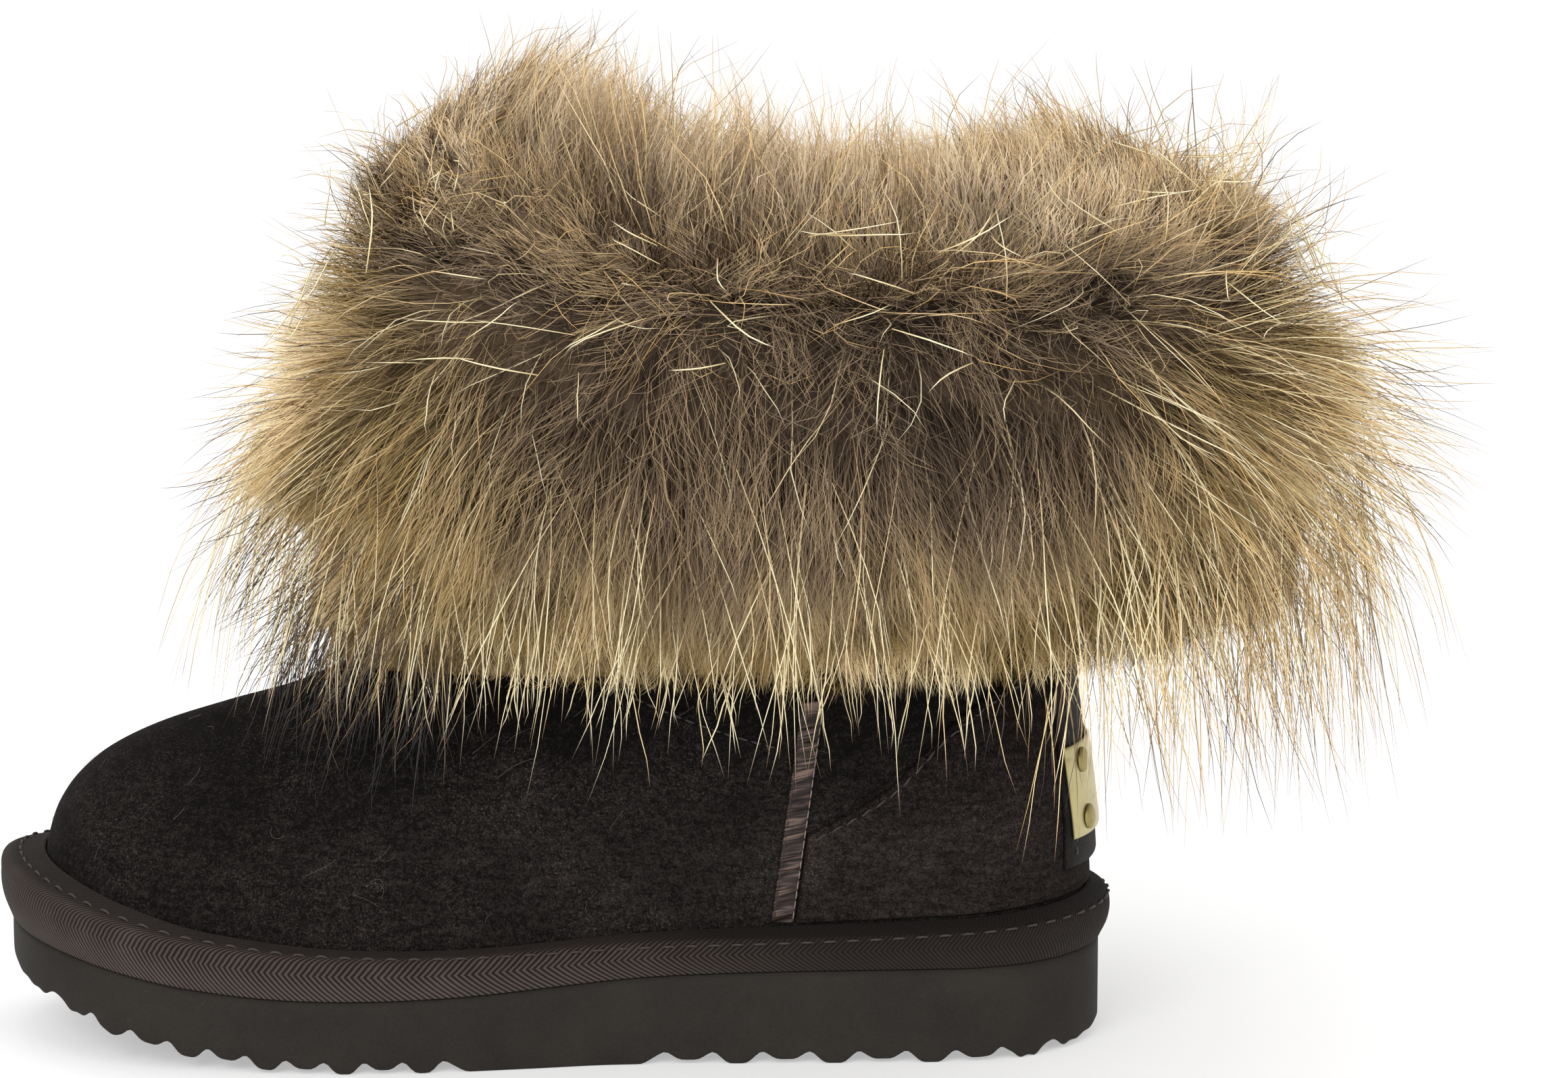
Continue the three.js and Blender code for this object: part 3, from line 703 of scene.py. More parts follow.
@dataclass(frozen=True)
class Twill(Finish):
    """Herringbone twill: ribs that turn at a spine along the tape."""

    length_mm: float = 700.0
    width_mm: float = 17.0
    pitch_mm: float = 1.35
    yarn_mm: float = 0.42
    slope: float = 0.9
    spine: float = 0.62
    dark: Colour = tone(0.0085, 0.0065, 0.0056)
    light: Colour = tone(0.07, 0.0515, 0.0452)
    dusty: Colour = tone(0.128, 0.1, 0.089)

    def mixed(self, p: Paint) -> Material:
        """Makes the twill."""
        around, across = p.cloth("Cloth")
        from_spine = abs(across - self.spine) * self.width_mm
        rib = (around * (self.length_mm / self.pitch_mm) + from_spine * (self.slope / self.pitch_mm)).fract()
        crest = 1 - abs(rib * 2 - 1)
        yarn = (around * (self.length_mm / self.yarn_mm)).fract()
        twist = 1 - abs(yarn * 2 - 1)
        wear = p.noise(9, 4, 0.65)
        fuzz = p.noise(0.5, 3, 0.7)
        height = crest.step(0.05, 0.75) * 0.8 + twist * 0.12 + fuzz * 0.2
        colour = p.mix((height * 0.8 + wear * 0.5 - 0.35).step(0.0, 0.85), self.dark, self.light)
        # Rib crests turn paler towards the bottom edge and in worn patches.
        lower = across.step(0.5, 0.95) * 0.55 + wear.step(0.55, 0.8) * 0.25
        colour = p.mix(lower * crest, colour, self.dusty)
        x = p.add("ShaderNodeSeparateXYZ", {}, {0: p.spot()}, 0)
        shaded = x.step(0.0, 0.075) + x.step(-0.09, -0.128) * 0.3
        shaded = (shaded * 0.76 + across.step(0.42, 0.3) * 0.6) * across.step(0.0, 0.08)
        colour = p.mix(shaded, colour, self.dark)
        normal = p.bump(height, 0.5, 0.9)
        sheen = {"Sheen Weight": 0.04, "Sheen Tint": tone(0.6, 0.5, 0.45)}
        return p.surface(colour, 0.78 + fuzz * 0.15, normal, 0.14, sheen)


@dataclass(frozen=True)
class Satin(Finish):
    """Gathered ribbon: fine slanted threads with painted highlights, and painted shade in the dark gathers
    between them.
    """

    dark: Colour = tone(0.011, 0.0078, 0.0068)
    light: Colour = tone(0.19, 0.128, 0.107)
    gathers: float = 11.0
    slant: float = 0.03

    def mixed(self, p: Paint) -> Material:
        """Makes the ribbon cloth."""
        across, along = p.cloth("Cloth")
        slanted = along - across * self.slant
        threads = p.noise(1.0, 2, 0.6, p.joined(across * 0.0007, slanted * 0.1))
        bright = p.noise(1.0, 2, 0.5, p.joined(across * 0.0011, slanted * 0.021))
        phase = along * self.gathers - across * GATHER_SLANT + (along * GATHER_DRIFT).sine() * GATHER_UNEVEN
        back = (phase * math.pi).sine() * (phase * math.pi).sine()
        # Painted highlights on the threads, and painted shade in the gathers' troughs, where raised is low;
        # the cloth is also darker along both edges.
        painted_highlight = bright.step(0.36, 0.62) * 0.9 + 0.12
        raised = back.step(0.0, 0.3) * 0.8 + 0.2
        share = threads.step(0.36, 0.66) * painted_highlight * raised
        share = share * (1 - abs(across * 2 - 1).step(0.7, 1.0) * 0.8)
        colour = p.mix(share, self.dark, self.light)
        normal = p.bump(back * 0.5 + threads * 0.5, 0.5, 0.8)
        return p.surface(colour, 0.5, normal, 0.2)


@dataclass(frozen=True)
class Leather(Finish):
    """Smooth dark leather with a fine grain and rubbed lighter patches."""

    dark: Colour = tone(0.009, 0.0074, 0.0067)
    light: Colour = tone(0.024, 0.0198, 0.018)
    grains_per_m: float = 900.0

    def mixed(self, p: Paint) -> Material:
        """Makes the leather."""
        cells = {"Vector": p.spot(), "Scale": self.grains_per_m}
        grain = p.add("ShaderNodeTexVoronoi", {"feature": "DISTANCE_TO_EDGE"}, cells)
        rub = p.noise(6, 4, 0.6)
        colour = p.mix(rub.step(0.35, 0.75), self.dark, self.light)
        normal = p.bump(grain.step(0.0, 0.25) + rub * 0.3, 0.18, 0.7)
        return p.surface(colour, 0.6 + rub * 0.2, normal, 0.16)


@dataclass(frozen=True)
class Brass(Finish):
    """Brushed brass, darkened with age in patches and along its edges."""

    bright: Colour = tone(0.5, 0.44, 0.22)
    aged: Colour = tone(0.2, 0.16, 0.07)
    edge: float = 0.06

    def mixed(self, p: Paint) -> Material:
        """Makes the brass."""
        across, along = p.cloth("Cloth")
        border = abs(across * 2 - 1).most(abs(along * 2 - 1))
        brush = p.noise(1.0, 3, 0.6, p.joined(across * 0.004, along * 0.09))
        stain = p.noise(4.5, 4, 0.65)
        share = stain.step(0.5, 0.85) * 0.55 + border.step(1 - self.edge * 2, 1.0) * 0.9
        colour = p.mix(share, self.bright, self.aged)
        normal = p.bump(brush, 0.05, 0.5)
        rough = 0.24 + stain * 0.22 + brush * 0.08
        return p.surface(colour, rough, normal, extra={"Metallic": 0.92})


@dataclass(frozen=True)
class Fleece(Finish):
    """Curly pile of a winter lining."""

    dark: Colour = tone(0.12, 0.088, 0.06)
    light: Colour = tone(0.4, 0.32, 0.23)

    def mixed(self, p: Paint) -> Material:
        """Makes the pile."""
        curls = p.noise(3.2, 5, 0.7)
        fine = p.noise(0.8, 4, 0.7)
        colour = p.mix((curls * 0.8 + fine * 0.5 - 0.2).step(0.15, 0.75), self.dark, self.light)
        normal = p.bump(curls * 0.7 + fine * 0.4, 1.6, 0.9)
        sheen = {"Sheen Weight": 0.4, "Sheen Tint": tone(0.9, 0.8, 0.65)}
        return p.surface(colour, 0.95, normal, 0.1, sheen)


@dataclass(frozen=True)
class Thread(Finish):
    """Sewing thread with a little twist."""

    colour: Colour = tone(0.042, 0.031, 0.026)
    paler: float = 2.2

    def mixed(self, p: Paint) -> Material:
        """Makes the thread."""
        fuzz = p.noise(0.35, 2, 0.6)
        pale = tuple(min(c * self.paler, 1.0) for c in self.colour)
        colour = p.mix(fuzz.step(0.35, 0.75), self.colour, pale)
        return p.surface(colour, 0.6, p.bump(fuzz, 0.12, 0.7))


@dataclass(frozen=True)
class Zone:
    """Hair colours from root to tip over one part of the cuff."""

    at: float
    stops: tuple[tuple[float, Colour], ...]


ROOT_TO_TIP = (0.0, 0.4, 0.78, 1.0)


def zone(at: float, *colours: Triple) -> Zone:
    """Makes a zone from its colours at the usual places from root to tip."""
    return Zone(at, tuple((along, tone(*colour)) for along, colour in zip(ROOT_TO_TIP, colours)))


COAT_ZONES = (
    zone(0.06, (0.16, 0.117, 0.08), (0.5, 0.378, 0.255), (1.0, 0.79, 0.52), (1.0, 0.83, 0.5)),
    zone(0.26, (0.07, 0.047, 0.03), (0.22, 0.151, 0.085), (0.54, 0.375, 0.195), (0.92, 0.64, 0.3)),
    zone(0.46, (0.028, 0.018, 0.0125), (0.09, 0.062, 0.042), (0.26, 0.186, 0.119), (0.5, 0.37, 0.23)),
    zone(0.66, (0.045, 0.029, 0.018), (0.17, 0.116, 0.064), (0.48, 0.338, 0.165), (0.72, 0.52, 0.25)),
    zone(0.86, (0.05, 0.032, 0.014), (0.16, 0.106, 0.039), (0.33, 0.222, 0.076), (0.5, 0.342, 0.125)),
    zone(0.985, (0.24, 0.165, 0.09), (0.78, 0.56, 0.3), (1.0, 0.8, 0.47), (1.0, 0.9, 0.62)),
)
GUARD_ZONES = (
    zone(0.12, (0.58, 0.42, 0.19), (1.0, 0.86, 0.52), (1.0, 0.9, 0.61), (0.14, 0.07, 0.03)),
    zone(0.42, (0.34, 0.23, 0.11), (0.86, 0.64, 0.32), (0.8, 0.48, 0.15), (0.34, 0.17, 0.06)),
    zone(0.7, (0.5, 0.38, 0.2), (0.34, 0.22, 0.1), (0.05, 0.034, 0.024), (0.012, 0.01, 0.009)),
    zone(0.92, (0.05, 0.035, 0.025), (0.022, 0.018, 0.016), (0.014, 0.012, 0.012), (0.01, 0.009, 0.009)),
)


@dataclass(frozen=True)
class Hair(Finish):
    """Fur whose colour runs from root to tip and changes over the cuff.

    The map's first coordinate runs along each hair, the second tells the part of the cuff.
    """

    zones: tuple[Zone, ...] = COAT_ZONES
    uneven: float = 0.22
    gloss: float = 0.62
    shine: float = 0.12
    shadow: Colour = tone(0.02, 0.013, 0.009)

    def mixed(self, p: Paint) -> Material:
        """Makes the hair."""
        along, part = p.cloth("OFBake")
        colour = p.ramp(along, self.zones[0].stops)
        for before, after in zip(self.zones, self.zones[1:]):
            colour = p.mix(part.step(before.at, after.at), colour, p.ramp(along, after.stops))
        each = p.noise(1000.0, 2, 0.6, p.joined(along * 1.5, part * 420.0))
        colour = p.mix(each.step(0.25, 0.6) * -self.uneven + self.uneven, colour, self.shadow)
        return p.surface(colour, self.gloss, gloss=self.shine)


SUEDE = Suede("suede_dark_brown")
SUEDE_RAISED = Suede("suede_counter", dark=tone(0.0042, 0.0033, 0.003), light=tone(0.052, 0.041, 0.0366))
FOAM = Foam("foam_grey_brown")
TWILL = Twill("twill_brown")
SATIN = Satin("ribbon_satin_brown")
PATCH_LEATHER = Leather("patch_leather_dark")
PLATE_BRASS = Brass("plate_brass_pale")
RIVET_BRASS = Brass(
    "rivet_brass_olive", bright=tone(0.33, 0.265, 0.095), aged=tone(0.14, 0.105, 0.035), edge=0.001
)
FLEECE = Fleece("lining_fleece")
THREAD_DARK = Thread("thread_brown", colour=tone(0.02, 0.0148, 0.0124))
THREAD_ROSE = Thread("thread_rose_brown", colour=tone(0.018, 0.012, 0.0105))
THREAD_PALE = Thread("thread_pale", colour=tone(0.16, 0.125, 0.105))
LINT = Thread("lint_pale", colour=tone(0.09, 0.075, 0.064))
UNDERFUR = Hair("underfur")
GUARD = Hair("guard_hair", zones=GUARD_ZONES, uneven=0.2, gloss=0.38, shine=0.5)


def dress(piece: Piece, replaced: Sequence[str] = ()) -> Piece:
    """Ties a piece to the boot's body and hides the solids it stands for."""
    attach(piece, "root")
    if replaced:
        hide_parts(*replaced)
    LOG.info("%s: %d faces", piece.name, len(piece.data.polygons))
    return piece


def linked(name: str, mesh: bpy.types.Mesh, finish: Finish) -> Piece:
    """Makes a mesh an object of the scene with its finish."""
    mesh.materials.append(finish.material())
    piece = bpy.data.objects.new(name, mesh)
    bpy.context.scene.collection.objects.link(piece)
    return piece


class Shell:
    """A mesh of grids that formulas place, welded where they meet."""

    def __init__(self, name: str) -> None:
        """Starts an empty mesh."""
        self.name = name
        self.bm = bmesh.new()
        self.bm.loops.layers.uv.new("Cloth")

    def grid(self, columns: int, rows: int, place: Place) -> list[bmesh.types.BMFace]:
        """Adds a grid and moves each vertex to its place.

        Args:
            columns: Steps along the first coordinate.
            rows: Steps along the second.
            place: Gives points in millimetres for both coordinates from 0 to 1.

        Returns:
            The grid's faces.
        """
        made = bmesh.ops.create_grid(self.bm, x_segments=columns, y_segments=rows, size=0.5, calc_uvs=True)
        flat = np.array([vert.co[:2] for vert in made["verts"]]) + 0.5
        for vert, point in zip(made["verts"], place(flat[:, 0], flat[:, 1]) * MM):
            vert.co = point
        return list({face for vert in made["verts"] for face in vert.link_faces})

    def closed(self) -> "Shell":
        """Welds the grids' meeting edges and turns the faces outwards."""
        bmesh.ops.remove_doubles(self.bm, verts=self.bm.verts, dist=WELD)
        bmesh.ops.dissolve_degenerate(self.bm, dist=WELD / 2, edges=self.bm.edges)
        bmesh.ops.recalc_face_normals(self.bm, faces=self.bm.faces)
        return self

    def sheet(self, columns: int, rows: int, *faces: Place) -> "Shell":
        """Adds a sheet's face and back as equal grids and closes it."""
        for face in faces:
            self.grid(columns, rows, face)
        return self.closed()

    def piece(self, finish: Finish) -> Piece:
        """Makes the mesh a smooth object."""
        mesh = bpy.data.meshes.new(self.name)
        self.bm.to_mesh(mesh)
        self.bm.free()
        mesh.shade_smooth()
        return linked(self.name, mesh, finish)


@dataclass
class Strands:
    """Many thin pieces held as arrays: points, triangles, map and shading directions."""

    points: list[Array] = field(default_factory=list)
    triangles: list[Array] = field(default_factory=list)
    maps: list[Array] = field(default_factory=list)
    normals: list[Array] = field(default_factory=list)
    count: int = 0
    rounded: float = 0.55

    def _add(self, points: Array, triangles: Array, maps: Array, normals: Array) -> None:
        """Adds one batch of equal pieces, each an index block."""
        each = points.shape[1]
        start = self.count + np.arange(len(points))[:, None, None] * each
        self.points.append(points.reshape(-1, 3))
        self.triangles.append((triangles[None] + start).reshape(-1, 3))
        self.maps.append(maps.reshape(-1, 2))
        self.normals.append(normals.reshape(-1, 3))
        self.count += points.shape[0] * each

    def ribbons(
        self, line: Array, sideways: Array, width: Array, along: Array, part: Array, facing: Array
    ) -> None:
        """Adds flat hairs that end in a point.

        Args:
            line: Hairs' points, by hair and step.
            sideways: Unit vectors across each hair.
            width: Widths by hair and step.
            along: The map's first coordinate by hair and step.
            part: The map's second coordinate for each hair.
            facing: Shading direction for each step.
        """
        steps = line.shape[1]
        half = sideways[:, :-1] * width[:, :-1, None] / 2
        body = np.stack([line[:, :-1] - half, line[:, :-1] + half], 2).reshape(len(line), -1, 3)
        points = np.concatenate([body, line[:, -1:]], 1)
        lean = sideways[:, :-1] * self.rounded
        turned = np.stack([facing[:, :-1] - lean, facing[:, :-1] + lean], 2).reshape(len(line), -1, 3)
        normals = unit(np.concatenate([turned, facing[:, -1:]], 1))
        faces = []
        for k in range(steps - 2):
            a = 2 * k
            faces += [(a, a + 1, a + 3), (a, a + 3, a + 2)]
        last = 2 * (steps - 2)
        faces.append((last, last + 1, last + 2))
        twice = np.concatenate([np.repeat(along[:, :-1], 2, 1), along[:, -1:]], 1)
        maps = np.stack(np.broadcast_arrays(twice, part[:, None]), -1)
        self._add(points, np.array(faces), maps, normals)

    def tubes(self, line: Array, over: Array, radius: Array, sides: int, part: Array) -> None:
        """Adds closed round threads.

        Args:
            line: Threads' points, by thread and step.
            over: A direction across each thread, by thread and step.
            radius: Radii by thread and step.
            sides: Sides of the round section.
            part: The map's second coordinate for each thread.
        """
        steps = line.shape[1]
        tangent = unit(np.gradient(line, axis=1))
        across = unit(np.cross(tangent, over))
        over = np.cross(tangent, across)
        turn = np.arange(sides) / sides * TURN
        out = across[:, :, None] * np.cos(turn)[:, None] + over[:, :, None] * np.sin(turn)[:, None]
        points = (line[:, :, None] + out * radius[:, :, None, None]).reshape(len(line), -1, 3)
        faces = []
        for k in range(steps - 1):
            for s in range(sides):
                a = k * sides + s
                b = k * sides + (s + 1) % sides
                faces += [(a, b, b + sides), (a, b + sides, a + sides)]
        end = (steps - 1) * sides
        for s in range(1, sides - 1):
            faces += [(0, s + 1, s), (end, end + s, end + s + 1)]
        along = np.repeat(np.arange(steps), sides) / (steps - 1)
        maps = np.stack(np.broadcast_arrays(along[None], part[:, None]), -1)
        self._add(points, np.array(faces), maps, out.reshape(len(line), -1, 3))

    def piece(self, name: str, finish: Finish) -> Piece:
        """Joins all batches into one object."""
        points = np.concatenate(self.points) * MM
        triangles = np.concatenate(self.triangles)
        mesh = bpy.data.meshes.new(name)
        mesh.vertices.add(len(points))
        mesh.vertices.foreach_set("co", points.astype(np.float32).ravel())
        mesh.loops.add(triangles.size)
        mesh.loops.foreach_set("vertex_index", triangles.astype(np.int32).ravel())
        mesh.polygons.add(len(triangles))
        mesh.polygons.foreach_set("loop_start", np.arange(0, triangles.size, 3, dtype=np.int32))
        layer = mesh.uv_layers.new(name="OFBake")
        maps = np.concatenate(self.maps)[triangles.ravel()]
        layer.data.foreach_set("uv", maps.astype(np.float32).ravel())
        mesh.update(calc_edges=True)
        mesh.shade_smooth()
        mesh.normals_split_custom_set_from_vertices(np.concatenate(self.normals).tolist())
        return linked(name, mesh, finish)


@dataclass(frozen=True)
class Stitching:
    """A run of equal stitches along a line on a surface."""

    pitch: float
    length: float
    radius: float
    rise: float = 0.35
    sunk: float = 0.7
    thinned: float = 0.75
    steps: int = 7
    sides: int = 6

    def follow(self, strands: Strands, last: Last, ring: Array, angle: Array, out: float) -> None:
        """Lays the stitches along a line on the upper, a distance out from it."""
        self.lay(strands, last.off_upper(ring, angle, out), last.upper_normal(ring, angle))

    def lay(self, strands: Strands, path: Array, outward: Array) -> None:
        """Lays the stitches.

        Args:
            strands: Collects them.
            path: Points along the line.
            outward: The surface's directions there.
        """
        run = np.concatenate([[0], np.cumsum(np.linalg.norm(np.diff(path, axis=0), axis=1))])
        count = max(int(run[-1] // self.pitch), 1)
        middle = (np.arange(count) + 0.5) * run[-1] / count
        share = np.linspace(-1, 1, self.steps)
        at = middle[:, None] + share[None] * self.length / 2
        point = np.stack([np.interp(at, run, path[:, i]) for i in range(3)], -1)
        over = unit(np.stack([np.interp(at, run, outward[:, i]) for i in range(3)], -1))
        lift = self.rise * (1 - share**2) - self.radius * self.sunk * share**4
        point = point + over * lift[None, :, None]
        radius = np.broadcast_to(self.radius * np.sqrt(1 - self.thinned * share**4), at.shape)
        strands.tubes(point, over, radius, self.sides, np.linspace(0, 1, count))


@dataclass
class Sole:
    """The foam sole with its wave tread."""

    last: Last
    stations: int = 380
    bevel: float = 1.1
    bulge: float = 0.35
    valley: float = 3.3
    short_crest: float = 1.0
    tip_share: float = 0.4
    fore: tuple[float, float, int] = (-31.4, -9.6, 10)
    heel: tuple[float, float, int] = (116.8, -11.9, 8)
    waist: Pair = (22.0, -21.0)
    ends: tuple[Level, ...] = listed(
        Level, (126, 0.7), (131, 1.6), (134.4, 2.5), (135.6, 3.2),
        (-126.4, 0.6), (-132, 0.6), (-135.6, 1.2), (-137.2, 2.6),
    )
    round_over: float = 0.9
    notch_pitch: float = 3.6
    notch_deep: float = 0.4
    round_steps: int = 7
    flat_edge: float = 2.0
    heel_notched: Pair = (104.0, 112.0)
    toe_notched: Pair = (100.0, 110.0)
    under_points: int = 18
    corner_points: int = 5
    wall_points: int = 9
    over_points: int = 10

    def tread(self, x: Array) -> Array:
        """Gives the tread's height: rounded waves, alternately tall and short, and end notches."""
        runs = [(edge, 0.0) for edge in self.waist] + [(end.x, end.z) for end in self.ends]
        for first, pitch, crests in (self.fore, self.heel):
            tip = abs(pitch) * self.tip_share / 2
            for i in range(crests):
                middle = first + i * pitch
                rise = self.short_crest * (i % 2)
                runs += [(middle - tip, rise), (middle + tip, rise), (middle + abs(pitch) / 2, self.valley)]
            runs.append((first + (crests - 0.5) * pitch, self.valley))
        runs.sort()
        at = np.array([run[0] for run in runs])
        rise = np.array([run[1] for run in runs])
        shifts = np.linspace(-self.round_over, self.round_over, self.round_steps)
        height = np.mean([np.interp(x + shift, at, rise) for shift in shifts], axis=0)
        flat = (x < self.waist[0] - self.flat_edge) & (x > self.waist[1] + self.flat_edge)
        height = np.where(flat, 0.0, height)
        ends = smoothstep(*self.heel_notched, x) + smoothstep(*self.toe_notched, -x)
        notch = 0.5 - 0.5 * np.cos(TURN * x / self.notch_pitch)
        return self.last.spring(x) + height + self.notch_deep * notch * ends

    def section(self) -> list[Array]:
        """Gives the section's loop.

        Returns:
            Side to side from -1 to 1, height from 0 to 1, and inset and corner's rise in mm.
        """
        under = np.linspace(1, -1, self.under_points)
        corner = np.linspace(0, math.pi / 2, self.corner_points)[1:-1]
        wall = np.linspace(0, 1, self.wall_points)
        over = np.linspace(-1, 1, self.over_points)[1:-1]
        rising = self.bevel * (1 - np.cos(corner))
        inward = self.bevel * (1 - np.sin(corner))
        bulge = -self.bulge * np.sin(math.pi * wall)
        stretches = (
            (under, 0.0, self.bevel, 0.0),
            (-1.0, 0.0, inward, rising),
            (-1.0, wall, bulge, self.bevel * (1 - wall)),
            (over, 1.0, 0.0, 0.0),
            (1.0, wall[::-1], bulge[::-1], self.bevel * wall),
            (1.0, 0.0, inward[::-1], rising[::-1]),
            (under[:1], 0.0, self.bevel, 0.0),
        )
        columns = zip(*(np.broadcast_arrays(*stretch) for stretch in stretches))
        return [np.concatenate(column) for column in columns]

    def build(self) -> Piece:
        """Makes the sole."""
        last = self.last
        side, high, inset, rise = self.section()
        rows = len(side) - 1

        def place(u: Array, v: Array) -> Array:
            """Gives the sole's points: stations along u, the section along v."""
            k = np.rint(v * rows).astype(int)
            x = mix(last.heel_end, last.toe_end, ahead_of(u * math.pi))
            outer = last.sole_edge(x, np.full_like(x, Side.OUTER.value))
            inner = last.sole_edge(x, np.full_like(x, Side.INNER.value))
            middle = (outer + inner) / 2
            half = (inner - outer) / 2
            share = 1 - inset[k] / (half + np.abs(inset[k]) + TINY)
            z = mix(self.tread(x) + rise[k], last.sole_top(x), high[k])
            return np.stack([x, middle + side[k] * half * share, z], -1)

        shell = Shell("foam_sole")
        shell.grid(self.stations, rows, place)
        return dress(shell.closed().piece(FOAM), ["outsole"])


@dataclass
class WeltTape:
    """The twill binding round the joint, with its stitches."""

    last: Last
    columns: int = 480
    edge: float = 1.3
    face: tuple[Pair, ...] = ((1.6, 0.9), (2.8, 0.64), (2.4, 0.32), (0.5, 0.0))
    stitch_down: float = 5.4
    groove: float = 0.35
    groove_wide: float = 0.8
    puckers: int = 128
    lip_rise: float = 0.25
    joint_ring: float = 1.2
    seat_rings: tuple[float, ...] = (1.35, 0.7, 0.1)
    face_rows: int = 30
    fine_rows: int = 60
    stitching: Stitching = Stitching(5.6, 3.0, 0.34, 0.28)

    def __post_init__(self) -> None:
        """Works out the tape's outer face over its whole length."""
        self.angles = np.linspace(0, TURN, self.columns + 1)
        ring = self.last.tape_ring(self.angles)
        crown = self.last.off_upper(ring, self.angles, SEAM_GAP)
        lip = self.last.off_upper(ring, self.angles, SEAM_GAP + self.edge)
        rows = [crown, lip + np.array([0, 0, self.lip_rise])]
        for out, up in self.face:
            point = self.last.beside_sole(self.angles, out)
            point[:, 2] += up * (lip[:, 2] - point[:, 2])
            rows.append(point)
        self.rows = Curve(np.arange(len(rows)), np.stack(rows))
        self.fine = self.rows(np.linspace(0, len(rows) - 1, self.fine_rows))
        length = np.linalg.norm(np.diff(self.fine, axis=0), axis=2)
        self.down = np.concatenate([np.zeros((1, self.columns + 1)), np.cumsum(length, 0)])

    def at(self, column: Array, down: Array) -> Array:
        """Gives face points of columns at distances down from the tape's inner top edge."""
        points = np.empty((len(column), 3))
        for i, (c, d) in enumerate(zip(column, down)):
            points[i] = [np.interp(d, self.down[:, c], self.fine[:, c, axis]) for axis in range(3)]
        return points

    def build(self) -> list[Piece]:
        """Makes the tape and its stitches."""
        last = self.last
        seat_rings = (last.tape_top, *self.seat_rings)
        seat_rows = len(self.seat_rings)

        def place(u: Array, v: Array) -> Array:
            """Gives the outer face for v from 0 at the top edge to 1 at the bottom edge."""
            column = np.rint(u * self.columns).astype(int)
            down = v * self.down[-1, column]
            near = np.exp(-(((down - self.edge - self.stitch_down) / self.groove_wide) ** 2))
            pucker = 0.6 + 0.4 * np.cos(u * TURN * self.puckers)
            outward = last.upper_normal(self.joint_ring, u * TURN)
            return self.at(column, down) - outward * (self.groove * near * pucker)[:, None]

        def seat(u: Array, v: Array) -> Array:
            """Gives the hidden side that lies on the upper."""
            column = np.rint(u * self.columns).astype(int)
            ring = np.interp(v, np.linspace(0, 1, seat_rows + 1), seat_rings)
            point = last.off_upper(ring, self.angles[column], SEAM_GAP)
            point[:, 2] = np.where(v > 1 - TINY, last.sole_top(point[:, 0]) + SEAM_GAP, point[:, 2])
            return np.where((v < TINY)[:, None], self.fine[0, column], point)

        def foot(u: Array, v: Array) -> Array:
            """Gives the narrow under side that closes the tape."""
            column = np.rint(u * self.columns).astype(int)
            low = seat(u, np.ones_like(u))
            return mix(self.fine[-1, column], low, v[:, None])

        shell = Shell("binding_tape")
        shell.grid(self.columns, self.face_rows, place)
        shell.grid(self.columns, seat_rows, seat)
        shell.grid(self.columns, 1, foot)
        tape = dress(shell.closed().piece(TWILL), ["welt_tape"])
        columns = np.arange(self.columns + 1)
        down = np.full(self.columns + 1, self.edge + self.stitch_down)
        path = self.at(columns, down)
        outward = unit(np.cross(np.gradient(path, axis=0), self.at(columns, down - 1) - path))
        facing = outward * last.upper_normal(self.joint_ring, self.angles)
        outward = outward * np.sign(np.sum(facing, 1, keepdims=True))
        strands = Strands()
        self.stitching.lay(strands, path, outward)
        return [tape, dress(strands.piece("tape_stitches", THREAD_DARK))]


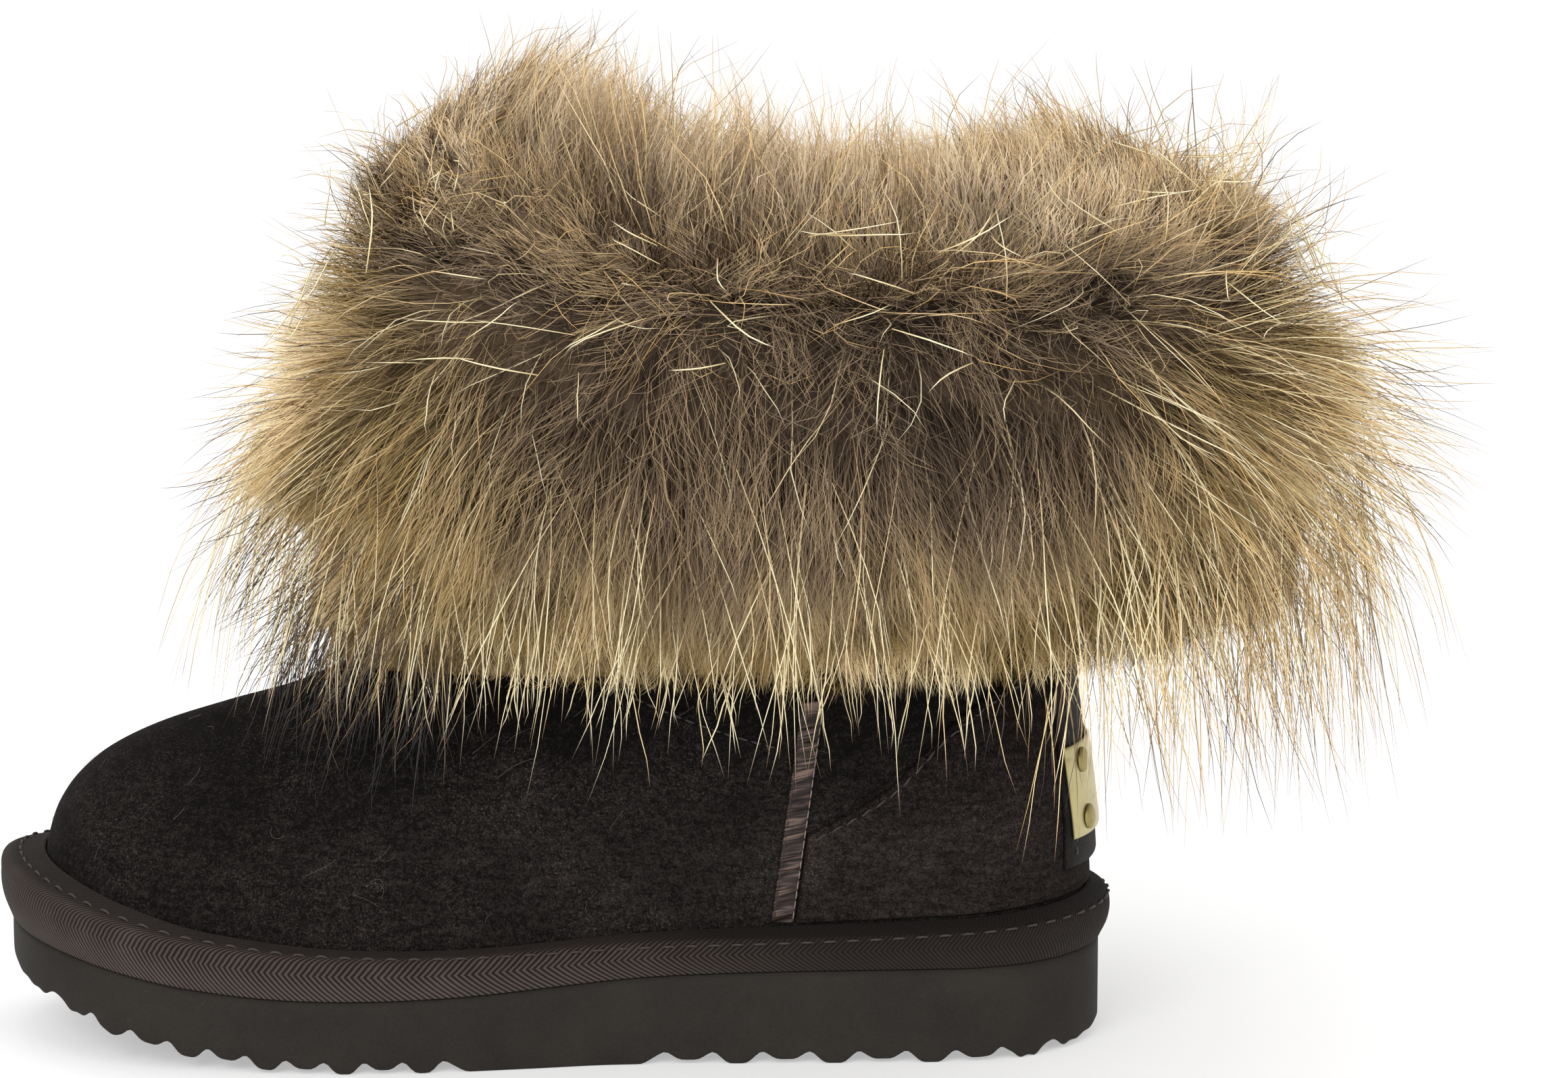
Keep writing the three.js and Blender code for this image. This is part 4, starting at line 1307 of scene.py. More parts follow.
@dataclass
class Upper:
    """The suede upper with its fleece lining and the vamp's seam."""

    last: Last
    columns: int = 288
    outside_rows: int = 96
    rim_rows: int = 4
    inside_rows: int = 14
    lining: float = 1.7
    pile: float = 0.5
    seam: Stitching = Stitching(3.4, 2.5, 0.32, 0.25)
    seam_in: float = 1.9
    seam_ends: Pair = (-6.0, 55.0)
    lining_grid: Steps = (120, 36)
    lining_foot: float = 0.15
    lining_short: float = 0.06
    lining_clear: float = 0.15

    def build(self) -> list[Piece]:
        """Makes the upper, its lining and the stitches."""
        last = self.last
        skin = last.wall - self.lining

        def outside(u: Array, v: Array) -> Array:
            """Gives the suede's outer face."""
            ring = COLLAR * (0.72 * v + 0.28 * v**2)
            point = last.off_upper(ring, u * TURN, 0.0)
            point[:, 2] = np.where(v < TINY, last.sole_top(point[:, 0]) + SEAM_GAP, point[:, 2])
            return point

        def rim(u: Array, v: Array) -> Array:
            """Gives the rounded collar edge."""
            turn = v * math.pi
            out = -skin / 2 + skin / 2 * np.cos(turn)
            point = last.off_upper(COLLAR, u * TURN, out)
            point[:, 2] += skin / 2 * np.sin(turn)
            return point

        def inside(u: Array, v: Array) -> Array:
            """Gives the suede's inner face, down to the sole."""
            ring = COLLAR * (1 - v)
            point = last.off_upper(ring, u * TURN, -skin)
            point[:, 2] = np.where(v > 1 - TINY, last.sole_top(point[:, 0]) + SEAM_GAP, point[:, 2])
            return point

        def under(u: Array, v: Array) -> Array:
            """Gives the lasting edge between both faces."""
            return mix(inside(u, np.ones_like(u)), outside(u, np.zeros_like(u)), v[:, None])

        shell = Shell("suede_upper")
        shell.grid(self.columns, self.outside_rows, outside)
        shell.grid(self.columns, self.rim_rows, rim)
        shell.grid(self.columns, self.inside_rows, inside)
        shell.grid(self.columns, 1, under)
        self.skin = BVHTree.FromBMesh(shell.closed().bm)
        upper = dress(shell.piece(SUEDE), ["upper"])
        return [upper, self.build_lining(skin), self.build_seam()]

    def build_lining(self, skin: float) -> Piece:
        """Makes the fleece lining as a closed sleeve inside the suede."""
        last = self.last

        def up(v: Array) -> Array:
            """Gives the ring at a share of the lining's height."""
            return mix(self.lining_foot, COLLAR - self.lining_short, v)

        def curled(u: Array, v: Array) -> Array:
            """Gives the pile's face from the sole up to the collar."""
            curl = ripple(u * TURN * 3, v * 60, 5, 7) + ripple(u * TURN * 5, v * 110, 6, 7)
            out = -last.wall + self.pile * (curl - 1) * smoothstep(0, 0.06, v)
            return last.off_upper(up(v), u * TURN, np.minimum(out, -skin - self.lining_clear * 2))

        def backing(u: Array, v: Array) -> Array:
            """Gives the lining's back, just inside the suede."""
            back = last.off_upper(up(v), u * TURN, -skin - self.lining_clear)
            rim = ((v < TINY) | (v > 1 - TINY))[:, None]
            return np.where(rim, curled(u, v), back)

        shell = Shell("fleece_lining").sheet(*self.lining_grid, curled, backing)
        return dress(shell.piece(FLEECE))

    def build_seam(self) -> Piece:
        """Makes the stitches along the vamp's lapped edge on both sides."""
        last = self.last
        strands = Strands()
        x = np.linspace(*self.seam_ends, SEAM_POINTS)
        z = last.seam_z(x) - self.seam_in
        angle = last.angle_at_length(x, z)
        for side in Side:
            turned = angle * -side.value
            self.seam.follow(strands, last, last.ring_at_height(turned, z), turned, 0.0)
        return dress(strands.piece("vamp_stitches", THREAD_ROSE))


@dataclass
class Insole:
    """The fleece insole lying on the sole."""

    last: Last
    thick: float = 5.0
    ring: float = 0.8
    clear: float = 1.2
    tip: float = 0.035
    crown: float = 0.7
    curl: float = 0.35
    grid: Steps = (90, 28)

    def build(self) -> Piece:
        """Makes the insole."""
        last = self.last

        def edge(angle: Array) -> Array:
            """Gives the insole's outline."""
            return last.off_upper(self.ring, angle, -last.wall - self.clear)

        def across(u: Array, v: Array) -> Array:
            """Gives points between both edges of the outline."""
            angle = mix(self.tip, math.pi - self.tip, u)
            return mix(edge(angle), edge(-angle), v[:, None])

        def over(u: Array, v: Array) -> Array:
            """Gives the pile's face."""
            point = across(u, crowded(v))
            rounded = pillow(crowded(v), 0.08) * pillow(crowded(u, 0.5), 0.03)
            curl = ripple(u * 40, v * 30, 8, 7) * self.curl
            point[:, 2] = last.sole_top(point[:, 0]) + SEAM_GAP + (self.thick - self.crown + curl) * rounded
            point[:, 2] += self.crown * rounded * np.sin(math.pi * v)
            return point

        def under(u: Array, v: Array) -> Array:
            """Gives the side on the sole."""
            point = across(u, crowded(v))
            point[:, 2] = last.sole_top(point[:, 0]) + SEAM_GAP
            return point

        shell = Shell("fleece_insole").sheet(*self.grid, over, under)
        return dress(shell.piece(FLEECE), ["insole"])


@dataclass
class SideRibbon:
    """The gathered ribbon over one side seam, with its edge stitches."""

    last: Last
    side: Side
    foot_x: float = 56.2
    foot_z: float = 34.0
    lean: float = math.radians(7.6)
    wide: float = 5.6
    thick: float = 1.2
    top_z: float = 92.0
    fold_deep: float = 0.8
    grid: Steps = (14, 168)
    stitching: Stitching = Stitching(2.6, 2.1, 0.15, 0.1)

    def __post_init__(self) -> None:
        """Tabulates both edges' angles against the height."""
        angle = float(self.last.angle_at_length(np.array(self.foot_x), np.array(self.foot_z)))
        self.low_z = float(self.last.above_tape(angle * -self.side.value))
        self.heights = np.linspace(self.low_z, self.top_z, 50)
        self.front = self.last.angle_at_length(self.middle(self.heights) - self.wide / 2, self.heights)
        self.rear = self.last.angle_at_length(self.middle(self.heights) + self.wide / 2, self.heights)

    def middle(self, z: Array) -> Array:
        """Gives the ribbon's middle line along the boot at a height."""
        return self.foot_x + np.tan(self.lean) * (z - self.foot_z)

    def turned(self, u: Array, z: Array) -> Spots:
        """Gives ring and angle across the ribbon at heights."""
        angle = mix(np.interp(z, self.heights, self.front), np.interp(z, self.heights, self.rear), u)
        angle = angle * -self.side.value
        return self.last.ring_at_height(angle, z), angle

    def build(self) -> list[Piece]:
        """Makes the ribbon and its stitches."""

        def fold(u: Array, v: Array) -> Array:
            """Gives the gathers: uneven slanted folds, deepest along the middle."""
            phase = v * SATIN.gathers - GATHER_SLANT * u + GATHER_UNEVEN * np.sin(v * GATHER_DRIFT)
            wave = np.sin(math.pi * phase) ** 2
            return (wave - 0.6) * np.sin(math.pi * np.clip(u * 1.1 - 0.05, 0, 1)) ** 0.6

        def over(u: Array, v: Array) -> Array:
            """Gives the ribbon's face."""
            across = crowded(u)
            ring, angle = self.turned(across, mix(self.low_z, self.top_z, v))
            body = pillow(across, 0.16) * pillow(v, 0.015)
            out = SEAM_GAP + (self.thick - self.fold_deep * 0.5 + self.fold_deep * fold(across, v)) * body
            return self.last.off_upper(ring, angle, out)

        def under(u: Array, v: Array) -> Array:
            """Gives the ribbon's back on the suede."""
            ring, angle = self.turned(crowded(u), mix(self.low_z, self.top_z, v))
            return self.last.off_upper(ring, angle, SEAM_GAP)

        outer = self.side is Side.OUTER
        shell = Shell("ribbon_outer" if outer else "ribbon_inner").sheet(*self.grid, over, under)
        node = "side_ribbon_lateral" if outer else "side_ribbon_medial"
        made = [dress(shell.piece(SATIN), [node])]
        for name, share, finish in (("front", 0.1, THREAD_DARK), ("rear", 0.93, THREAD_PALE)):
            strands = Strands()
            z = np.linspace(self.low_z + 1, self.top_z - 1, SEAM_POINTS)
            ring, angle = self.turned(share, z)
            self.stitching.follow(strands, self.last, ring, angle, SEAM_GAP + self.thick * STITCH_SEAT)
            made.append(dress(strands.piece(f"{shell.name}_stitches_{name}", finish)))
        return made


@dataclass
class HeelCounter:
    """The raised suede counter from ribbon to ribbon, with a scalloped stitched edge."""

    last: Last
    ribbon: SideRibbon
    thick: float = 1.2
    edge: tuple[Level, ...] = listed(Level, (0, 99), (0.45, 95), (0.68, 84.5), (0.83, 70.4), (1, 58.5))
    scallop: float = 0.8
    scallops: int = 66
    stitching: Stitching = Stitching(4.3, 3.1, 0.34, 0.25)
    stitch_in: float = 2.2
    stitch_ends: float = 0.985
    stitch_points: int = 240
    grid: Steps = (264, 22)

    def __post_init__(self) -> None:
        """Tabulates the front edge's angle against the height."""
        self.top = Curve.of(self.edge, "x", "z")
        self.heights = np.linspace(30, 100, 60)
        front = self.ribbon.middle(self.heights) + self.ribbon.wide / 2 + SEAM_GAP
        self.front = self.last.angle_at_length(front, self.heights)

    def spot(self, turn: Array, share: Array, drop: float = 0.0) -> Spots:
        """Gives ring and angle for a turn from -1 to 1 and a share of the height, less a drop."""
        angle = turn * np.interp(self.ribbon.foot_z, self.heights, self.front)
        wave = self.scallop * np.abs(np.sin(turn * math.pi * self.scallops / 2))
        top = self.top(np.abs(turn)) - wave - drop
        z = mix(self.last.above_tape(angle), top, share)
        angle = turn * np.interp(z, self.heights, self.front)
        return self.last.ring_at_height(angle, z), angle

    def build(self) -> list[Piece]:
        """Makes the counter and its stitches."""
        last = self.last

        def over(u: Array, v: Array) -> Array:
            """Gives the counter's face."""
            across = crowded(u, 0.5)
            up = crowded(v, 0.7)
            ring, angle = self.spot(1 - 2 * across, up)
            body = pillow(across, 0.008) * np.where(up > 0.5, pillow(up, 0.025), pillow(up, 0.02))
            near = np.exp(-(((1 - up) / 0.05 - 1) ** 2))
            return last.off_upper(ring, angle, SEAM_GAP + self.thick * body * (1 - 0.25 * near))

        def under(u: Array, v: Array) -> Array:
            """Gives the side on the upper."""
            ring, angle = self.spot(1 - 2 * crowded(u, 0.5), crowded(v, 0.7))
            return last.off_upper(ring, angle, SEAM_GAP)

        shell = Shell("counter_panel").sheet(*self.grid, over, under)
        counter = dress(shell.piece(SUEDE_RAISED), ["heel_counter"])
        strands = Strands()
        turn = np.linspace(self.stitch_ends, -self.stitch_ends, self.stitch_points)
        ring, angle = self.spot(turn, 1.0, self.stitch_in)
        self.stitching.follow(strands, last, ring, angle, SEAM_GAP + self.thick * STITCH_SEAT)
        return [counter, dress(strands.piece("counter_stitches", THREAD_ROSE))]


@dataclass
class HeelBadge:
    """The leather patch down the back, its brass plate and four rivets."""

    last: Last
    counter_thick: float = 1.2
    patch_half: Pair = (21.0, 17.0)
    patch_z: Pair = (44.6, 98.0)
    patch_thick: float = 1.6
    plate_half: float = 19.5
    plate_z: Pair = (52.0, 75.0)
    plate_thick: float = 0.8
    rivet_radius: float = 3.15
    rivet_proud: float = 1.2
    rivet_y: float = 13.0
    rivet_z: Pair = (56.4, 70.6)
    rivet_dome: float = 0.8
    panel_grid: Steps = (32, 32)
    patch_seams: Pair = (0.07, 0.93)
    seam_ends: Pair = (0.05, 0.97)
    stitching: Stitching = Stitching(3.2, 2.3, 0.3, 0.2)

    def spot(self, half: Pair, z: Pair, u: Array, v: Array) -> Spots:
        """Gives ring and angle on a panel at the back of the heel."""
        heights = np.linspace(z[0], z[1], 40)
        edge = self.last.angle_at_breadth(np.linspace(half[0], half[1], 40), heights)
        height = mix(z[0], z[1], v)
        angle = (1 - 2 * u) * np.interp(height, heights, edge)
        return self.last.ring_at_height(angle, height), angle

    def panel(self, name: str, half: Pair, z: Pair, base: float, thick: float, soft: float) -> Shell:
        """Makes a panel of even thickness with rounded edges.

        Args:
            name: The piece's name.
            half: Half breadths at the bottom and the top.
            z: Heights of the bottom and the top.
            base: How far its back is off the upper.
            thick: Its thickness.
            soft: Width of its rounded edge as a share.

        Returns:
            The panel's mesh.
        """

        def over(u: Array, v: Array) -> Array:
            """Gives the panel's face."""
            across = crowded(u)
            up = crowded(v)
            ring, angle = self.spot(half, z, across, up)
            return self.last.off_upper(ring, angle, base + thick * pillow(across, soft) * pillow(up, soft))

        def under(u: Array, v: Array) -> Array:
            """Gives the panel's back."""
            ring, angle = self.spot(half, z, crowded(u), crowded(v))
            return self.last.off_upper(ring, angle, base)

        return Shell(name).sheet(*self.panel_grid, over, under)

    def rivet(self, name: str, side: Side, z: float, base: float) -> Piece:
        """Makes one rivet head: a flattened dome with a narrow rim."""
        height = np.array(z)
        angle = -side.value * self.last.angle_at_breadth(np.array(self.rivet_y), height)
        ring = self.last.ring_at_height(angle, height)
        foot = self.last.off_upper(ring, angle, np.array(base))
        axis = Vector(self.last.upper_normal(ring, angle))
        shell = Shell(name)
        bm = shell.bm
        made = bmesh.ops.create_uvsphere(bm, u_segments=32, v_segments=20, radius=1.0, calc_uvs=True)
        for vert in made["verts"]:
            vert.co.z = math.copysign(abs(vert.co.z) ** self.rivet_dome, vert.co.z)
        ball = bm.verts[:] + bm.edges[:] + bm.faces[:]
        cut = bmesh.ops.bisect_plane(
            bm, geom=ball, plane_co=(0, 0, 0), plane_no=(0, 0, 1), clear_inner=True
        )
        rim = [edge for edge in cut["geom_cut"] if isinstance(edge, bmesh.types.BMEdge)]
        bmesh.ops.contextual_create(bm, geom=rim)
        size = Matrix.Diagonal((self.rivet_radius * MM, self.rivet_radius * MM, self.rivet_proud * MM, 1.0))
        turn = axis.to_track_quat("Z", "Y").to_matrix().to_4x4()
        bmesh.ops.transform(bm, matrix=Matrix.Translation(Vector(foot) * MM) @ turn @ size, verts=bm.verts)
        bmesh.ops.recalc_face_normals(bm, faces=bm.faces)
        return shell.piece(RIVET_BRASS)

    def build(self) -> list[Piece]:
        """Makes the patch, its stitches, the plate and the rivets."""
        patch_base = SEAM_GAP + self.counter_thick + SEAM_GAP
        plate_base = patch_base + self.patch_thick + SEAM_GAP
        rivet_base = plate_base + self.plate_thick + SEAM_GAP * 0.3
        patch = self.panel("back_patch", self.patch_half, self.patch_z, patch_base, self.patch_thick, 0.04)
        made = [dress(patch.piece(PATCH_LEATHER), ["heel_patch"])]
        strands = Strands()
        v = np.linspace(*self.seam_ends, SEAM_POINTS)
        for u in self.patch_seams:
            ring, angle = self.spot(self.patch_half, self.patch_z, u, v)
            self.stitching.follow(strands, self.last, ring, angle, patch_base + self.patch_thick * 0.95)
        made.append(dress(strands.piece("patch_stitches", THREAD_DARK)))
        halves = (self.plate_half, self.plate_half)
        plate = self.panel("brass_plate", halves, self.plate_z, plate_base, self.plate_thick, 0.05)
        made.append(dress(plate.piece(PLATE_BRASS), ["badge_plate"]))
        places = [(side, z) for side in Side for z in self.rivet_z]
        for number, (side, z) in enumerate(places, 1):
            head = self.rivet(f"rivet_head_{number}", side, z, rivet_base)
            made.append(dress(head, [f"rivet_{number}"]))
        return made


@dataclass
class CuffForm:
    """The fur cuff's outer form, tabulated round the boot and from crown to hem."""

    last: Last
    side_share: float = 0.87
    crown_side: float = 0.55
    front_peak: float = 0.75
    mouth_share: float = 0.22
    rim_out: float = 1.2
    rim_up: float = 0.6
    angles: int = 288
    places: int = 109

    def __post_init__(self) -> None:
        """Tabulates points and directions."""
        self.angle_keys = np.linspace(0, TURN, self.angles + 1)
        self.place_keys = np.linspace(CUFF_ROWS[0].place, CUFF_ROWS[-1].place, self.places)
        angle, place = np.meshgrid(self.angle_keys, self.place_keys, indexing="ij")
        self.points = self.point(angle, place)
        step = 0.03
        around = self.point(angle + step, place) - self.point(angle - step, place)
        down = self.point(angle, place + step) - self.point(angle, place - step)
        self.arounds = unit(around)
        self.normals = unit(np.cross(around, down))

    def point(self, angle: Array, place: Array) -> Array:
        """Gives points of the cuff's face."""
        columns = ("ring", "reach", "lift", "front")
        at = {name: Curve.of(CUFF_ROWS, "place", name)(place) for name in columns}
        ahead = ahead_of(angle)
        across = np.sin(angle) ** 2
        ring = np.minimum(at["ring"], COLLAR)
        point = self.last.upper_face(ring, angle)
        out = self.last.upper_normal(ring, angle) * IN_PLAN
        share = mix(1, at["front"], ahead) - (1 - self.side_share) * across
        point = point + unit(out) * (at["reach"] * share)[..., None]
        crown = 1 - (1 - self.crown_side) * across + self.front_peak * ahead**4
        point[..., 2] += np.where(at["lift"] > 0, at["lift"] * crown, at["lift"])
        return point

    def read(self, table: Array, angle: Array, place: Array) -> Array:
        """Reads a table between its entries."""
        i = (angle % TURN) / TURN * self.angles
        span = self.place_keys[-1] - self.place_keys[0]
        j = np.clip((place - self.place_keys[0]) / span, 0, 1) * (self.places - 1)
        i0 = np.minimum(i.astype(int), self.angles - 1)
        j0 = np.minimum(j.astype(int), self.places - 2)
        fi = (i - i0)[..., None]
        fj = (j - j0)[..., None]
        low = mix(table[i0, j0], table[i0 + 1, j0], fi)
        high = mix(table[i0, j0 + 1], table[i0 + 1, j0 + 1], fi)
        return mix(low, high, fj)

    def frame(self, angle: Array, place: Array) -> tuple[Array, Array, Array, Array]:
        """Gives points and face, outward and round directions; places under 0 are in the mouth."""
        inner = np.clip(-place, 0, 1)[:, None]
        out = unit(self.last.upper_normal(COLLAR, angle) * IN_PLAN)
        rim = self.last.upper_face(COLLAR, angle) + out * self.rim_out
        point = mix(self.read(self.points, angle, place), rim, inner)
        inward = np.array([0.0, 0.0, self.rim_up]) - out
        normal = unit(mix(self.read(self.normals, angle, place), inward, np.minimum(inner * 3, 1)))
        return point, normal, out, self.read(self.arounds, angle, place)

    def scatter(self, rng: np.random.Generator, count: int, places: Pair, angles: Pair) -> Spots:
        """Scatters roots evenly over the face between two places and two angles."""
        steps = np.linalg.norm(np.diff(self.points[:, :-1], axis=0), axis=2)
        steps = steps * np.linalg.norm(np.diff(self.points[:-1], axis=1), axis=2)
        angle_mid = (self.angle_keys[1:] + self.angle_keys[:-1]) / 2
        place_mid = (self.place_keys[1:] + self.place_keys[:-1]) / 2
        inside = ((angle_mid >= angles[0]) & (angle_mid <= angles[1]))[:, None]
        inside = inside & ((place_mid >= max(places[0], 0)) & (place_mid <= places[1]))[None]
        weight = (steps * inside).ravel()
        cell = rng.choice(len(weight), count, p=weight / weight.sum())
        i, j = np.divmod(cell, self.places - 1)
        angle = (i + rng.random(count)) / self.angles * TURN
        place = self.place_keys[0] + (j + rng.random(count)) * (self.place_keys[1] - self.place_keys[0])
        mouth = (rng.random(count) < self.mouth_share) & (places[0] < 0)
        return angle, np.where(mouth, rng.uniform(min(places[0], 0), 0, count), place)


@dataclass(frozen=True)
class Lay:
    """The coat at a place: hair's degrees up from straight out, and its colour part, at sides and ends."""

    place: float
    side_lean: float
    end_lean: float
    side_part: float
    end_part: float


LAYS = listed(
    Lay,
    (-1, 136, 138, 0.03, 0.03),
    (0, 112, 124, 0.06, 0.05),
    (0.8, 92, 102, 0.14, 0.07),
    (1.4, 66, 84, 0.28, 0.12),
    (2.1, 16, 60, 0.38, 0.26),
    (2.8, -30, 32, 0.44, 0.7),
    (3.6, -52, 2, 0.47, 0.97),
    (5, -63, -28, 0.57, 0.985),
    (6, -71, -46, 0.71, 0.95),
    (7, -78, -65, 0.84, 0.88),
    (8, -86, -80, 0.89, 0.9),
    (9, -90, -90, 0.9, 0.9),
)


@dataclass(frozen=True)
class Clump:
    """A grid of locks over the cuff, how hair follows them and the painted shade in the gaps between them.
    """

    around: int
    down: int
    pull: float
    stray: float
    tint: float
    light: float
    gap: float


CLUMPS = (
    Clump(46, 8, 0.6, 2.3, 0.08, 0.85, 0.6),
    Clump(150, 26, 0.5, 1.5, 0.05, 0.5, 0.45),
)


@dataclass(frozen=True)
class Coat:
    """One growth of hair on the cuff."""

    name: str
    count: int
    places: Pair
    seed: int
    proud: Pair
    width: float
    parts: Pair = (0.0, 0.0)
    spread: float = 0.17
    pull: float = 0.66
    wave: float = 0.7
    fall: float = 0.2
    lean: float = 1.0
    angles: Pair = (0.0, TURN)
    least: float = 7.0
    lie: Lie = Lie.FLOWING
    steps: int = 5


@dataclass(frozen=True)
class Guard(Coat):
    """One growth of long guard hair."""

    steps: int = 6


COATS = (
    Coat("underfur_crown", 23500, (-1.0, 2.6), 11, (-6.0, 8.0), 0.28, spread=0.24, wave=1.7),
    Coat("underfur_middle", 25000, (1.9, 5.4), 12, (-6.0, 6.0), 0.24, spread=0.2, wave=1.6),
    Coat("underfur_hem", 32000, (4.8, 8.9), 13, (-6.0, 4.0), 0.27, steps=4),
    Coat("underfur_stray", 7500, (0.0, 6.4), 14, (-2.0, 4.0), 0.2, spread=0.75, pull=0.15, wave=1.8),
)
FRONT = (2.3, 3.98)
BACK_OUTER = (0.0, 0.85)
BACK_INNER = (5.43, TURN)
GUARD_TAPER = np.array([0.7, 0.95, 1.0, 0.9, 0.65, 0.12])
COAT_TAPER = ((0, 0.35, 0.7, 1), (0.9, 1, 0.8, 0))
OFF_AXIS = np.array([0.01, 0.02, 0.03])
UP = np.array([0.0, 0.0, 1.0])
FIRST_PLACE = -1.0
TINT_SEED = 71
LIGHT_SEED = 72
DOWN_SEED = 40
ROUND_SEED = 50
HUNG = Lie.HANGING
GUARDS = (
    Guard("hem", 680, (4.6, 8.2), 21, (-8, 12), 0.34, (0.02, 0.3), 0.5, 0.2, 0.4, 0.8, least=96, lie=HUNG),
    Guard(
        "tail", 300, (5.4, 8.4), 29, (-4, 20), 0.26, (0.2, 0.8), 0.5, 0.2, 0.4, 0.5,
        angles=BACK_OUTER, least=90, lie=HUNG,
    ),
    Guard("body", 560, (2.2, 6.4), 22, (4, 13), 0.36, (0.0, 0.3), 0.36, 0.4, 0.7, 0.3, 0.95),
    Guard("body_dark", 220, (2.4, 6.4), 31, (4, 12), 0.26, (0.6, 0.95), 0.34, 0.4, 1.1, 0.3, 0.95),
    Guard("front", 380, (2.0, 5.4), 23, (6, 20), 0.26, (0.15, 0.72), 0.36, 0.5, 0.9, 0.25, 0.85, FRONT),
    Guard("front_dark", 400, (5.0, 8.0), 30, (14, 36), 0.28, (0.52, 0.9), 0.36, 0.8, 0.9, 0.3, 0.9, FRONT),
    Guard("back", 600, (1.6, 6.6), 24, (8, 46), 0.28, (0.12, 0.72), 0.36, 0.5, 0.9, 0.3, 0.8, BACK_OUTER),
    Guard("back_in", 300, (1.6, 6.6), 25, (8, 34), 0.28, (0.12, 0.72), 0.36, 0.5, 0.9, 0.3, 0.8, BACK_INNER),
    Guard("crown", 760, (-0.3, 2.4), 26, (4, 17), 0.28, (0.25, 0.62), 0.5, 0.6, 1.0, 0.0),
    Guard(
        "parting", 170, (1.0, 3.8), 27, (1, 5), 0.42, (0.03, 0.16), 0.5, 0.12, 0.35, 0.1,
        least=13, lie=Lie.TANGLED,
    ),
    Guard("vamp", 260, (7.0, 8.6), 28, (0, 20), 0.2, (0.82, 0.97), 0.4, 0.4, 0.9, 0.6, 1, FRONT, 88, HUNG),
)


